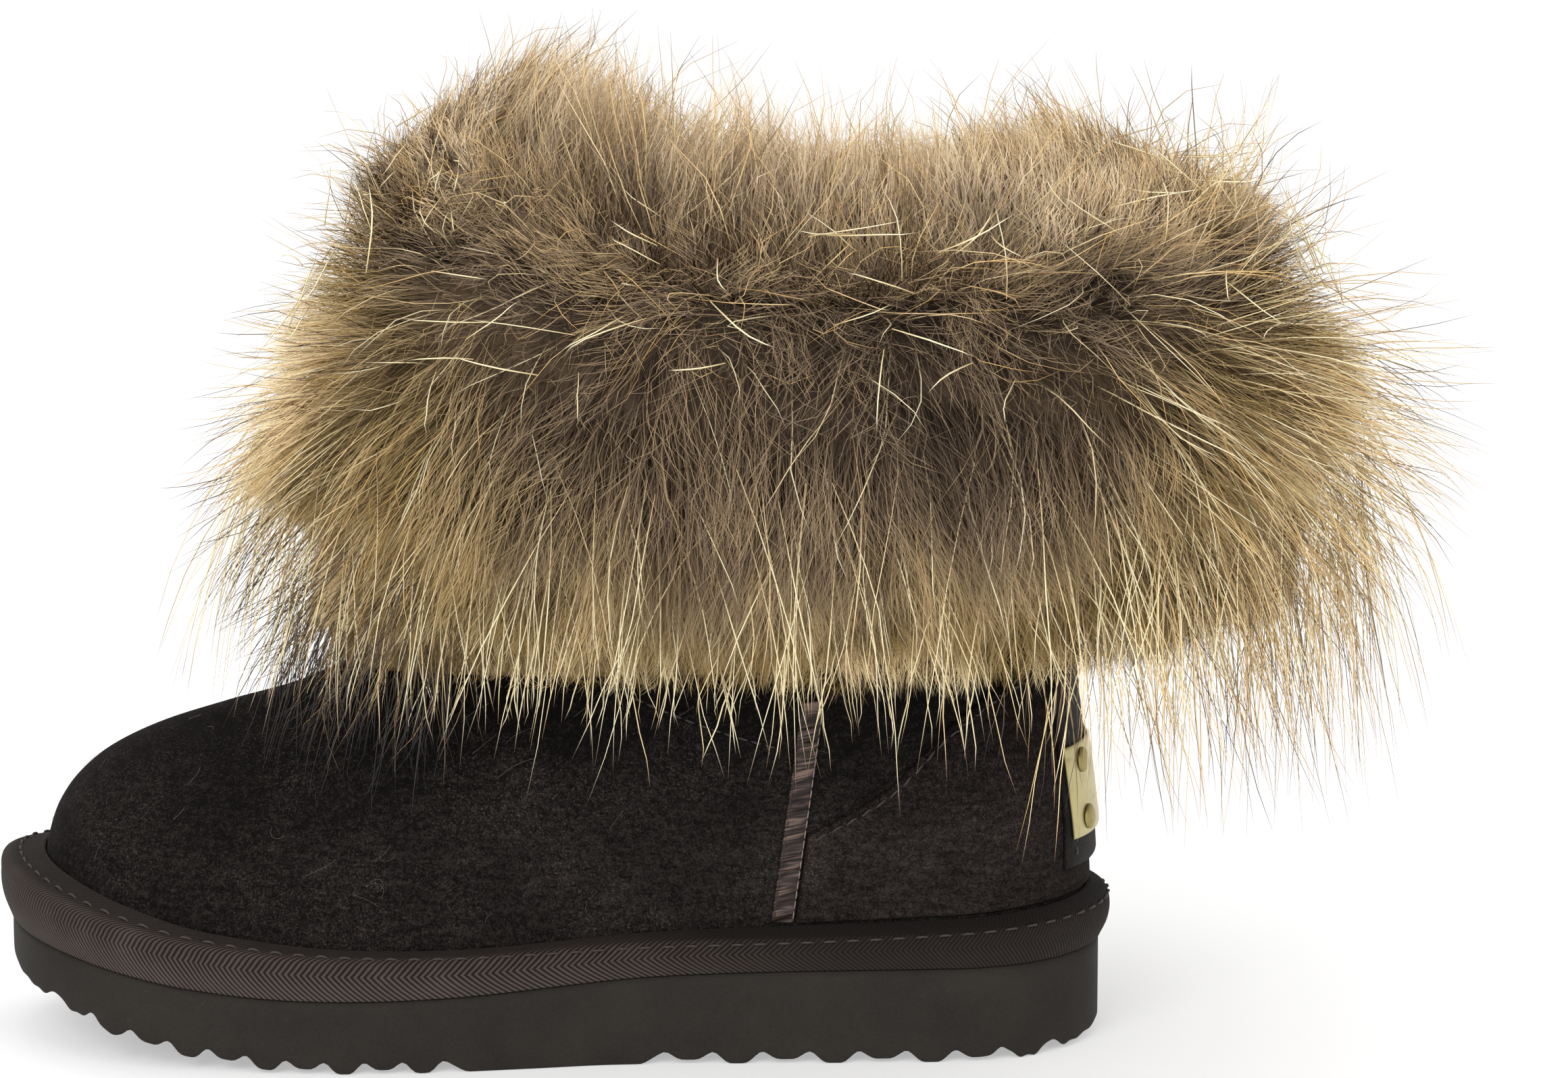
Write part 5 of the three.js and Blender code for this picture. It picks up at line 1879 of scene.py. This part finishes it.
@dataclass
class FurCuff:
    """The deep fur cuff: a body, the dense coat on it and long guard hair."""

    last: Last
    form: CuffForm
    skin: BVHTree
    sinks: tuple[Level, ...] = listed(
        Level, (-1, 0), (0, 8), (1, 14), (2, 14),
        (3, 20), (6, 19), (7.5, 14), (8.4, 9), (9, 4),
    )
    crown_length: float = 34.0
    near_more: float = 12.0
    front_more: float = 12.0
    mound_at: float = 0.85
    mound_wide: float = 0.55
    front_slope: float = 12.0
    back_tuck: float = 15.0
    front_tuck: float = 9.0
    back_drop: float = 7.0
    # Painted light: how much lighter the hair is at the back, the front and the crown's rim.
    back_light: float = 1.2
    front_light: float = 1.1
    rim_light: float = 0.85
    front_warm: float = 0.06
    loose: float = 1.6
    lock_wave: float = 3.0
    lock_turns: float = 0.8
    lean_power: int = 2
    part_power: float = 2.6
    slope_places: tuple[float, ...] = (0.1, 0.6, 1.9, 2.8)
    tuck_places: tuple[float, ...] = (4.0, 5.4, 6.4, 7.6)
    front_tuck_from: Pair = (4.6, 6.2)
    drop_from: Pair = (6.2, 7.4)
    fall_from: Pair = (1.5, 3.5)
    crown_end: Pair = (0.5, 1.4)
    mouth_end: Pair = (0.0, 0.9)
    parting_at: float = 1.9
    hang_lean: Pair = (70.0, 10.0)
    hang_sway: float = 0.6
    hang_sink: float = 0.3
    hang_lengths: Pair = (14.0, 75.0)
    hang_rate: Pair = (1.5, 0.95)
    tangle_rise: float = 0.25
    tangle_sink: Pair = (1.5, 0.4)
    tangle_more: float = 3.5
    least_rise: float = 0.4
    longest: float = 60.0
    bushy_rate: Pair = (0.82, 0.04)
    draw_spread: float = 0.6
    draw_limit: float = 1.5
    drift_tint: float = 0.05
    drift_light: float = 0.35
    hair_light: float = 0.12
    tip_light: Pair = (0.74, 0.36)
    body_lump: float = 2.2
    body_proud: float = 1.5
    body_along: float = 0.25
    body_grid: tuple[int, int, int] = (120, 48, 12)
    clear: float = 0.5
    skin_top: float = 125.0
    skin_near: float = 40.0
    low: Triple = (-158.0, -133.0, 62.0)
    high: Triple = (231.0, 133.0, 254.0)

    def sink(self, place: Array) -> Array:
        """Gives how deep under the cuff's face the hair is rooted."""
        return np.interp(place, [row.x for row in self.sinks], [row.z for row in self.sinks])

    def build(self) -> list[Piece]:
        """Makes the body, the coats and the guard hair."""
        made = [self.build_body()]
        for coat in COATS:
            made.append(self.build_coat(coat))
        made.append(self.build_guards())
        return made

    def build_body(self) -> Piece:
        """Makes the closed body that the hair is rooted in."""
        form = self.form
        last = self.last
        inner = (
            (COLLAR, 1.5, 9.0),
            (COLLAR, 0.6, 0.0),
            (13.5, 0.6, 0.0),
            (12.0, 0.6, 0.0),
            (11.0, 0.8, 0.0),
        )

        def outside(u: Array, v: Array) -> Array:
            """Gives the body's outer face, lumpy as tufted fur is."""
            angle = u * TURN
            place = v * CUFF_ROWS[-1].place
            lump = self.body_lump * ripple(angle * 2, place * 2, 3, 7) * np.sin(math.pi * v)
            sunk = self.sink(place) - self.body_proud - lump
            normal = form.read(form.normals, angle, place)
            return form.read(form.points, angle, place) - normal * sunk[:, None]

        def inside(u: Array, v: Array) -> Array:
            """Gives the face against the shaft, from the crown down to the hem."""
            angle = u * TURN
            rows = [outside(u, np.zeros_like(u))]
            for ring, clear, lift in inner:
                point = last.off_upper(ring, angle, clear)
                point[:, 2] += lift
                rows.append(point)
            rows.append(outside(u, np.ones_like(u)))
            stack = np.stack(rows)
            at = v * (len(rows) - 1)
            i = np.minimum(at.astype(int), len(rows) - 2)
            each = np.arange(len(u))
            return mix(stack[i, each], stack[i + 1, each], (at - i)[:, None])

        shell = Shell("fur_body")
        columns, outside_rows, inside_rows = self.body_grid
        shell.grid(columns, outside_rows, outside)
        shell.grid(columns, inside_rows, inside)
        shell.closed()
        layers = shell.bm.loops.layers.uv
        layers.new("OFBake")
        for face in shell.bm.faces:
            for loop in face.loops:
                across, down = loop[layers["Cloth"]].uv
                part = self.lay("part", np.array(down * CUFF_ROWS[-1].place), np.array(across * TURN))
                loop[layers["OFBake"]].uv = (self.body_along, float(part))
        return dress(shell.piece(UNDERFUR), ["fur_cuff"])

    def lay(self, name: str, place: Array, angle: Array) -> Array:
        """Reads the coat's lean or colour part between its sides and its ends front and back."""
        side = Curve.of(LAYS, "place", f"side_{name}")(place)
        end = Curve.of(LAYS, "place", f"end_{name}")(place)
        power = self.lean_power if name == "lean" else self.part_power
        return mix(side, end, np.abs(np.cos(angle)) ** power)

    def grow(self, coat: Coat, angle: Array, place: Array, draws: Array) -> Array:
        """Works out hairs' lines from their roots.

        Args:
            coat: The growth.
            angle: Roots' places round the boot.
            place: Roots' places from crown to hem.
            draws: For each hair its length, sway and lift as numbers of about -1 to 1.

        Returns:
            The lines, by hair and step.
        """
        point, normal, out, around = self.form.frame(angle, place)
        ahead = ahead_of(angle)
        hanging = coat.lie is Lie.HANGING
        proud = mix(coat.proud[0], coat.proud[1], draws[:, 0] / 2 + 0.5)
        on, full, less, off = self.slope_places
        slope = ahead**4 * smoothstep(on, full, place) * (1 - smoothstep(less, off, place))
        behind = (1 - ahead) ** 4
        on, full, less, off = self.tuck_places
        tuck = self.back_tuck * behind * smoothstep(on, full, place) * (1 - smoothstep(less, off, place))
        tuck = tuck + self.front_tuck * ahead**4 * smoothstep(*self.front_tuck_from, place)
        longer = self.back_drop * (1 - ahead) ** 2 * smoothstep(*self.drop_from, place)
        proud = proud - self.front_slope * slope + (0 if hanging else longer - tuck)
        spread = coat.spread * (1 + self.loose * np.exp(-((place - self.parting_at) ** 2)))
        sway = draws[:, 1] * spread
        lift = draws[:, 2] * spread
        tilt = np.radians(self.lay("lean", place, angle))
        tilt = np.where(tilt < 0, tilt * coat.lean, tilt) + lift
        if hanging:
            tilt = lift * self.hang_sway - np.radians(self.hang_lean[0] + self.hang_lean[1] * behind)
        start = unit(out * np.cos(tilt)[:, None] + UP * np.sin(tilt)[:, None] + around * sway[:, None])
        sink = self.sink(place) * (self.hang_sink if hanging else 1.0)
        rise = np.maximum(np.sum(start * normal, 1), self.least_rise)
        length = np.clip((sink + proud) / rise, coat.least, self.longest)
        mound = np.exp(-(((np.abs(math.pi - angle % TURN) - self.mound_at) / self.mound_wide) ** 2))
        near = self.near_more * np.sin(angle) * np.abs(np.sin(angle))
        bushy = self.crown_length + near + self.front_more * mound
        crown = np.sin(angle) ** 2 * (1 - smoothstep(*self.crown_end, place))
        crown = np.maximum(crown, 1 - smoothstep(*self.mouth_end, place))
        length = mix(length, bushy * (self.bushy_rate[0] + proud * self.bushy_rate[1]), crown)
        root = point - normal * sink[:, None]
        if hanging:
            drop = (root[:, 2] - coat.least + proud * self.hang_rate[0]) / self.hang_rate[1]
            length = np.clip(drop, *self.hang_lengths)
        if coat.lie is Lie.TANGLED:
            turn = draws[:, 1] * math.pi
            across = np.cross(around, normal)
            start = around * np.cos(turn)[:, None] + across * np.sin(turn)[:, None]
            start = unit(start + normal * self.tangle_rise)
            root = point - normal * (self.tangle_sink[0] - self.tangle_sink[1] * proud)[:, None]
            length = coat.least + proud * self.tangle_more
        fall = coat.fall * smoothstep(*self.fall_from, place)
        end = unit(start - UP * fall[:, None] + around * (sway * 0.5)[:, None])
        t = np.linspace(0, 1, coat.steps)[None, :, None]
        bend = start[:, None] * t + (end - start)[:, None] * t**2 / 2
        return root[:, None] + length[:, None, None] * bend

    def hairs(self, coat: Coat) -> dict[str, Array | np.random.Generator]:
        """Scatters one growth's hairs and draws them together in clumps."""
        rng = np.random.default_rng(coat.seed)
        angle, place = self.form.scatter(rng, coat.count, coat.places, coat.angles)
        draws = rng.normal(0, self.draw_spread, (coat.count, 3))
        draws = np.clip(draws, -self.draw_limit, self.draw_limit)
        if coat.lie is Lie.TANGLED:
            draws = rng.uniform(-1, 1, (coat.count, 3))
        line = self.grow(coat, angle, place, draws)
        t = np.linspace(0, 1, coat.steps)[None, :, None]
        ahead = ahead_of(angle)
        tint = self.drift_tint * ripple(angle, place * 1.2, TINT_SEED, 6)
        light = rng.normal(0, self.hair_light, coat.count)
        light = light + self.drift_light * ripple(angle, place * 0.9, LIGHT_SEED, 6)
        # Painted light: hairs at the back, along the crown's rim and at the front reach lighter colours.
        light = light + self.back_light * (1 - ahead) ** 3
        light = light + self.rim_light * (1 - smoothstep(0, 0.8, place)) + self.front_light * ahead**3
        span = CUFF_ROWS[-1].place - FIRST_PLACE
        for level, clump in enumerate(CLUMPS):
            table = rng.uniform(-1, 1, (clump.around, clump.down + 1, 6))
            drift = 0.35 * ripple(angle * 3, place * 3, DOWN_SEED + level)
            j = np.clip((place - FIRST_PLACE) / span * clump.down + drift, 0, clump.down).astype(int)
            shift = 0.5 * (j % 2)
            aside = 0.4 * ripple(angle * 2, place * 4, ROUND_SEED + level)
            cell = angle / TURN * clump.around + shift + aside
            draw = table[np.floor(cell).astype(int) % clump.around, j]
            lead_angle = (np.floor(cell) + 0.5 - shift + draw[:, 0] * 0.35) / clump.around * TURN
            lead_place = FIRST_PLACE + (j + 0.5 + draw[:, 1] * 0.3) / clump.down * span
            stray = draw[:, 2:5] * np.array([1, clump.stray, clump.stray])
            led = self.grow(coat, lead_angle, np.clip(lead_place, *coat.places), stray)
            offset = (line[:, :1] - led[:, :1]) * 0.3
            line = mix(line, led + offset, coat.pull * clump.pull * t**1.5)
            tint = tint + draw[:, 2] * clump.tint
            # Painted shade: hairs towards the gaps between locks get darker colours.
            gap = np.abs(cell - np.floor(cell) - 0.5) * 2
            light = light + draw[:, 5] * clump.light - (gap**2 - 0.33) * clump.gap
        normal, around = self.form.frame(angle, place)[1::2]
        lock = draw[:, 5, None, None] * TURN + self.lock_turns * TURN * t
        each = (coat.count, 1, 1)
        phase = rng.uniform(0, TURN, each) + rng.uniform(0.8, 1.9, each) * TURN * t
        aside = np.sin(phase) * coat.wave + np.sin(lock) * self.lock_wave * coat.pull
        line = line + (around[:, None] * aside + normal[:, None] * np.cos(phase) * coat.wave * 0.5) * t
        root = line[:, :1]
        reach = line - root
        low = np.array(self.low) - root
        high = np.array(self.high) - root
        room = np.where(reach > 0, high / np.maximum(reach, TINY), low / np.minimum(reach, -TINY))
        line = root + reach * np.clip(room.min((1, 2), keepdims=True), 0.05, 1)
        part = self.lay("part", place, angle) + tint + rng.normal(0, 0.02, coat.count)
        part = part + self.front_warm * ahead**1.5 * (1 - smoothstep(0.9, 1.9, place))
        if coat.parts[1] > 0:
            part = rng.uniform(*coat.parts, coat.count)
        part = np.clip(part, 0.004, 0.996)
        return {"line": line, "normal": normal, "part": part, "light": light, "rng": rng}

    def build_coat(self, coat: Coat) -> Piece:
        """Makes one dense growth of flat fine hairs."""
        hair = self.hairs(coat)
        line = hair["line"]
        rng = hair["rng"]
        tangent = unit(np.gradient(line, axis=1))
        facing = np.broadcast_to(hair["normal"][:, None], line.shape)
        across = unit(np.cross(tangent, facing))
        over = np.cross(across, tangent)
        roll = rng.uniform(-0.9, 0.9, (coat.count, 1, 1))
        sideways = across * np.cos(roll) + over * np.sin(roll)
        taper = np.interp(np.linspace(0, 1, coat.steps), *COAT_TAPER)
        width = coat.width * rng.uniform(0.6, 1.25, (coat.count, 1)) * taper
        own = np.cross(sideways, tangent)
        own = own * np.where(np.sum(own * facing, -1, keepdims=True) < 0, -1, 1)
        strands = Strands()
        last = np.clip(self.tip_light[0] + self.tip_light[1] * hair["light"], 0.25, 1)[:, None]
        along = np.linspace(0, 1, coat.steps) * last
        strands.ribbons(line, sideways, width, along, hair["part"], unit(facing * 0.75 + own * 0.5))
        return dress(strands.piece(coat.name, UNDERFUR))

    def kept_off(self, line: Array) -> Array:
        """Moves hair points that would be inside the upper out onto it."""
        clear = self.clear * MM
        flat = (line * MM).reshape(-1, 3)
        for index in np.flatnonzero(flat[:, 2] < self.skin_top * MM):
            found, normal, _, _ = self.skin.find_nearest(Vector(flat[index]), self.skin_near * MM)
            if found is not None and (Vector(flat[index]) - found).dot(normal) < clear:
                flat[index] = found + normal * clear
        return flat.reshape(line.shape) / MM

    def build_guards(self) -> Piece:
        """Makes the long guard hair."""
        strands = Strands()
        for coat in GUARDS:
            hair = self.hairs(coat)
            line = self.kept_off(hair["line"])
            thin = hair["rng"].uniform(0.7, 1.2, (coat.count, 1))
            over = np.broadcast_to(hair["normal"][:, None], line.shape) + OFF_AXIS
            strands.tubes(line, over, coat.width / 2 * thin * GUARD_TAPER[None], 3, hair["part"])
        return dress(strands.piece("guard_hair", GUARD))


@dataclass
class Fluff:
    """Loose pale fibres that cling to the suede."""

    last: Last
    count: int = 90
    seed: int = 61
    length: Pair = (3.0, 9.0)
    radius: float = 0.045
    off: float = 0.25
    steps: int = 7
    heel_free: float = 0.5
    rings: Pair = (2.8, 8.5)
    ring_limits: Pair = (2.5, 11.0)
    curl: float = 1.6
    mm_a_radian: float = 110.0
    mm_a_ring: float = 9.0

    def build(self) -> Piece:
        """Scatters the fibres over the vamp and the sides."""
        rng = np.random.default_rng(self.seed)
        angle = rng.uniform(self.heel_free, TURN - self.heel_free, self.count)
        ring = rng.uniform(*self.rings, self.count)
        heading = rng.uniform(0, TURN, self.count)
        curl = rng.normal(0, self.curl, self.count)
        length = rng.uniform(*self.length, self.count)
        t = np.linspace(0, 1, self.steps)[None]
        direction = heading[:, None] + curl[:, None] * t
        each = (length / self.steps)[:, None]
        along = np.cumsum(np.cos(direction), 1) * each
        up = np.cumsum(np.sin(direction), 1) * each
        at_angle = angle[:, None] + along / self.mm_a_radian
        at_ring = np.clip(ring[:, None] + up / self.mm_a_ring, *self.ring_limits)
        line = self.last.off_upper(at_ring, at_angle, self.off)
        over = self.last.upper_normal(at_ring, at_angle)
        strands = Strands()
        strands.tubes(line, over, np.full(at_angle.shape, self.radius), 3, rng.random(self.count))
        return dress(strands.piece("lint_fibres", LINT))


@dataclass
class Studio:
    """The camera, the soft lights and the pale floor."""

    elevation: float = math.radians(10.5)
    distance: float = 1.6
    target: Triple = (0.0568, 0.0, 0.1239)
    focal_px: float = 9541.0
    image_width: float = 2321.0
    sensor: float = 36.0
    floor_half: float = 9.0
    floor_glow: float = 0.42
    sky: float = 0.86
    far: float = 60.0
    white: Colour = tone(1.0, 1.0, 1.0)

    def aimed(self, name: str, data: bpy.types.ID, place: Vector) -> Piece:
        """Puts a camera or a light at a place, facing the boot."""
        made = bpy.data.objects.new(name, data)
        made.location = place
        made.rotation_mode = "QUATERNION"
        made.rotation_quaternion = (Vector(self.target) - place).to_track_quat("-Z", "Y")
        bpy.context.scene.collection.objects.link(made)
        return made

    def camera(self) -> None:
        """Sets the camera at the photograph's angle."""
        data = bpy.data.cameras.new("camera")
        data.sensor_width = self.sensor
        data.lens = self.focal_px / self.image_width * self.sensor
        data.clip_end = self.far
        back = Vector((0.0, -math.cos(self.elevation), math.sin(self.elevation)))
        place = Vector(self.target) + back * self.distance
        bpy.context.scene.camera = self.aimed("camera", data, place)

    def light(self, name: str, place: Triple, size: float, watts: float) -> None:
        """Adds a square soft light that faces the boot."""
        data = bpy.data.lights.new(name, "AREA")
        data.size = size
        data.energy = watts
        self.aimed(name, data, Vector(place))

    def floor(self) -> None:
        """Lays a plain pale floor."""
        p = Paint("floor_pale")
        cloud = p.noise(400, 2, 0.5)
        colour = p.mix(cloud, tone(0.6, 0.6, 0.6), tone(0.62, 0.62, 0.62))
        lit = {"Emission Color": self.white, "Emission Strength": self.floor_glow}
        material = p.surface(colour, 0.8, gloss=0.1, extra=lit)
        bm = bmesh.new()
        bmesh.ops.create_grid(bm, x_segments=4, y_segments=4, size=self.floor_half)
        mesh = bpy.data.meshes.new("floor")
        bm.to_mesh(mesh)
        bm.free()
        mesh.materials.append(material)
        floor = bpy.data.objects.new("floor", mesh)
        bpy.context.scene.collection.objects.link(floor)

    def build(self) -> None:
        """Sets the whole studio."""
        self.camera()
        self.floor()
        world = bpy.data.worlds.new("studio")
        world.use_nodes = True
        background = world.node_tree.nodes["Background"]
        background.inputs["Color"].default_value = self.white
        background.inputs["Strength"].default_value = self.sky
        bpy.context.scene.world = world
        bpy.context.scene.view_settings.view_transform = "Standard"
        self.light("key", (-0.9, -2.3, 1.5), 1.4, 34.0)
        self.light("fill", (1.5, -1.9, 1.0), 1.4, 10.0)
        self.light("top", (0.1, 0.5, 2.4), 1.6, 12.0)


def main() -> None:
    """Builds the boot piece by piece."""
    logging.basicConfig(level=logging.INFO, format="%(name)s %(message)s")
    Studio().build()
    last = Last()
    Sole(last).build()
    WeltTape(last).build()
    upper = Upper(last)
    upper.build()
    Insole(last).build()
    ribbons = [SideRibbon(last, side) for side in Side]
    for ribbon in ribbons:
        ribbon.build()
    HeelCounter(last, ribbons[0]).build()
    HeelBadge(last).build()
    FurCuff(last, CuffForm(last), upper.skin).build()
    Fluff(last).build()
    meshes = [piece.data for piece in bpy.data.objects if piece.type == "MESH"]
    triangles = sum(len(face.vertices) - 2 for mesh in meshes for face in mesh.polygons)
    LOG.info("%d triangles in all", triangles)


if __name__ == "__main__":
    main()
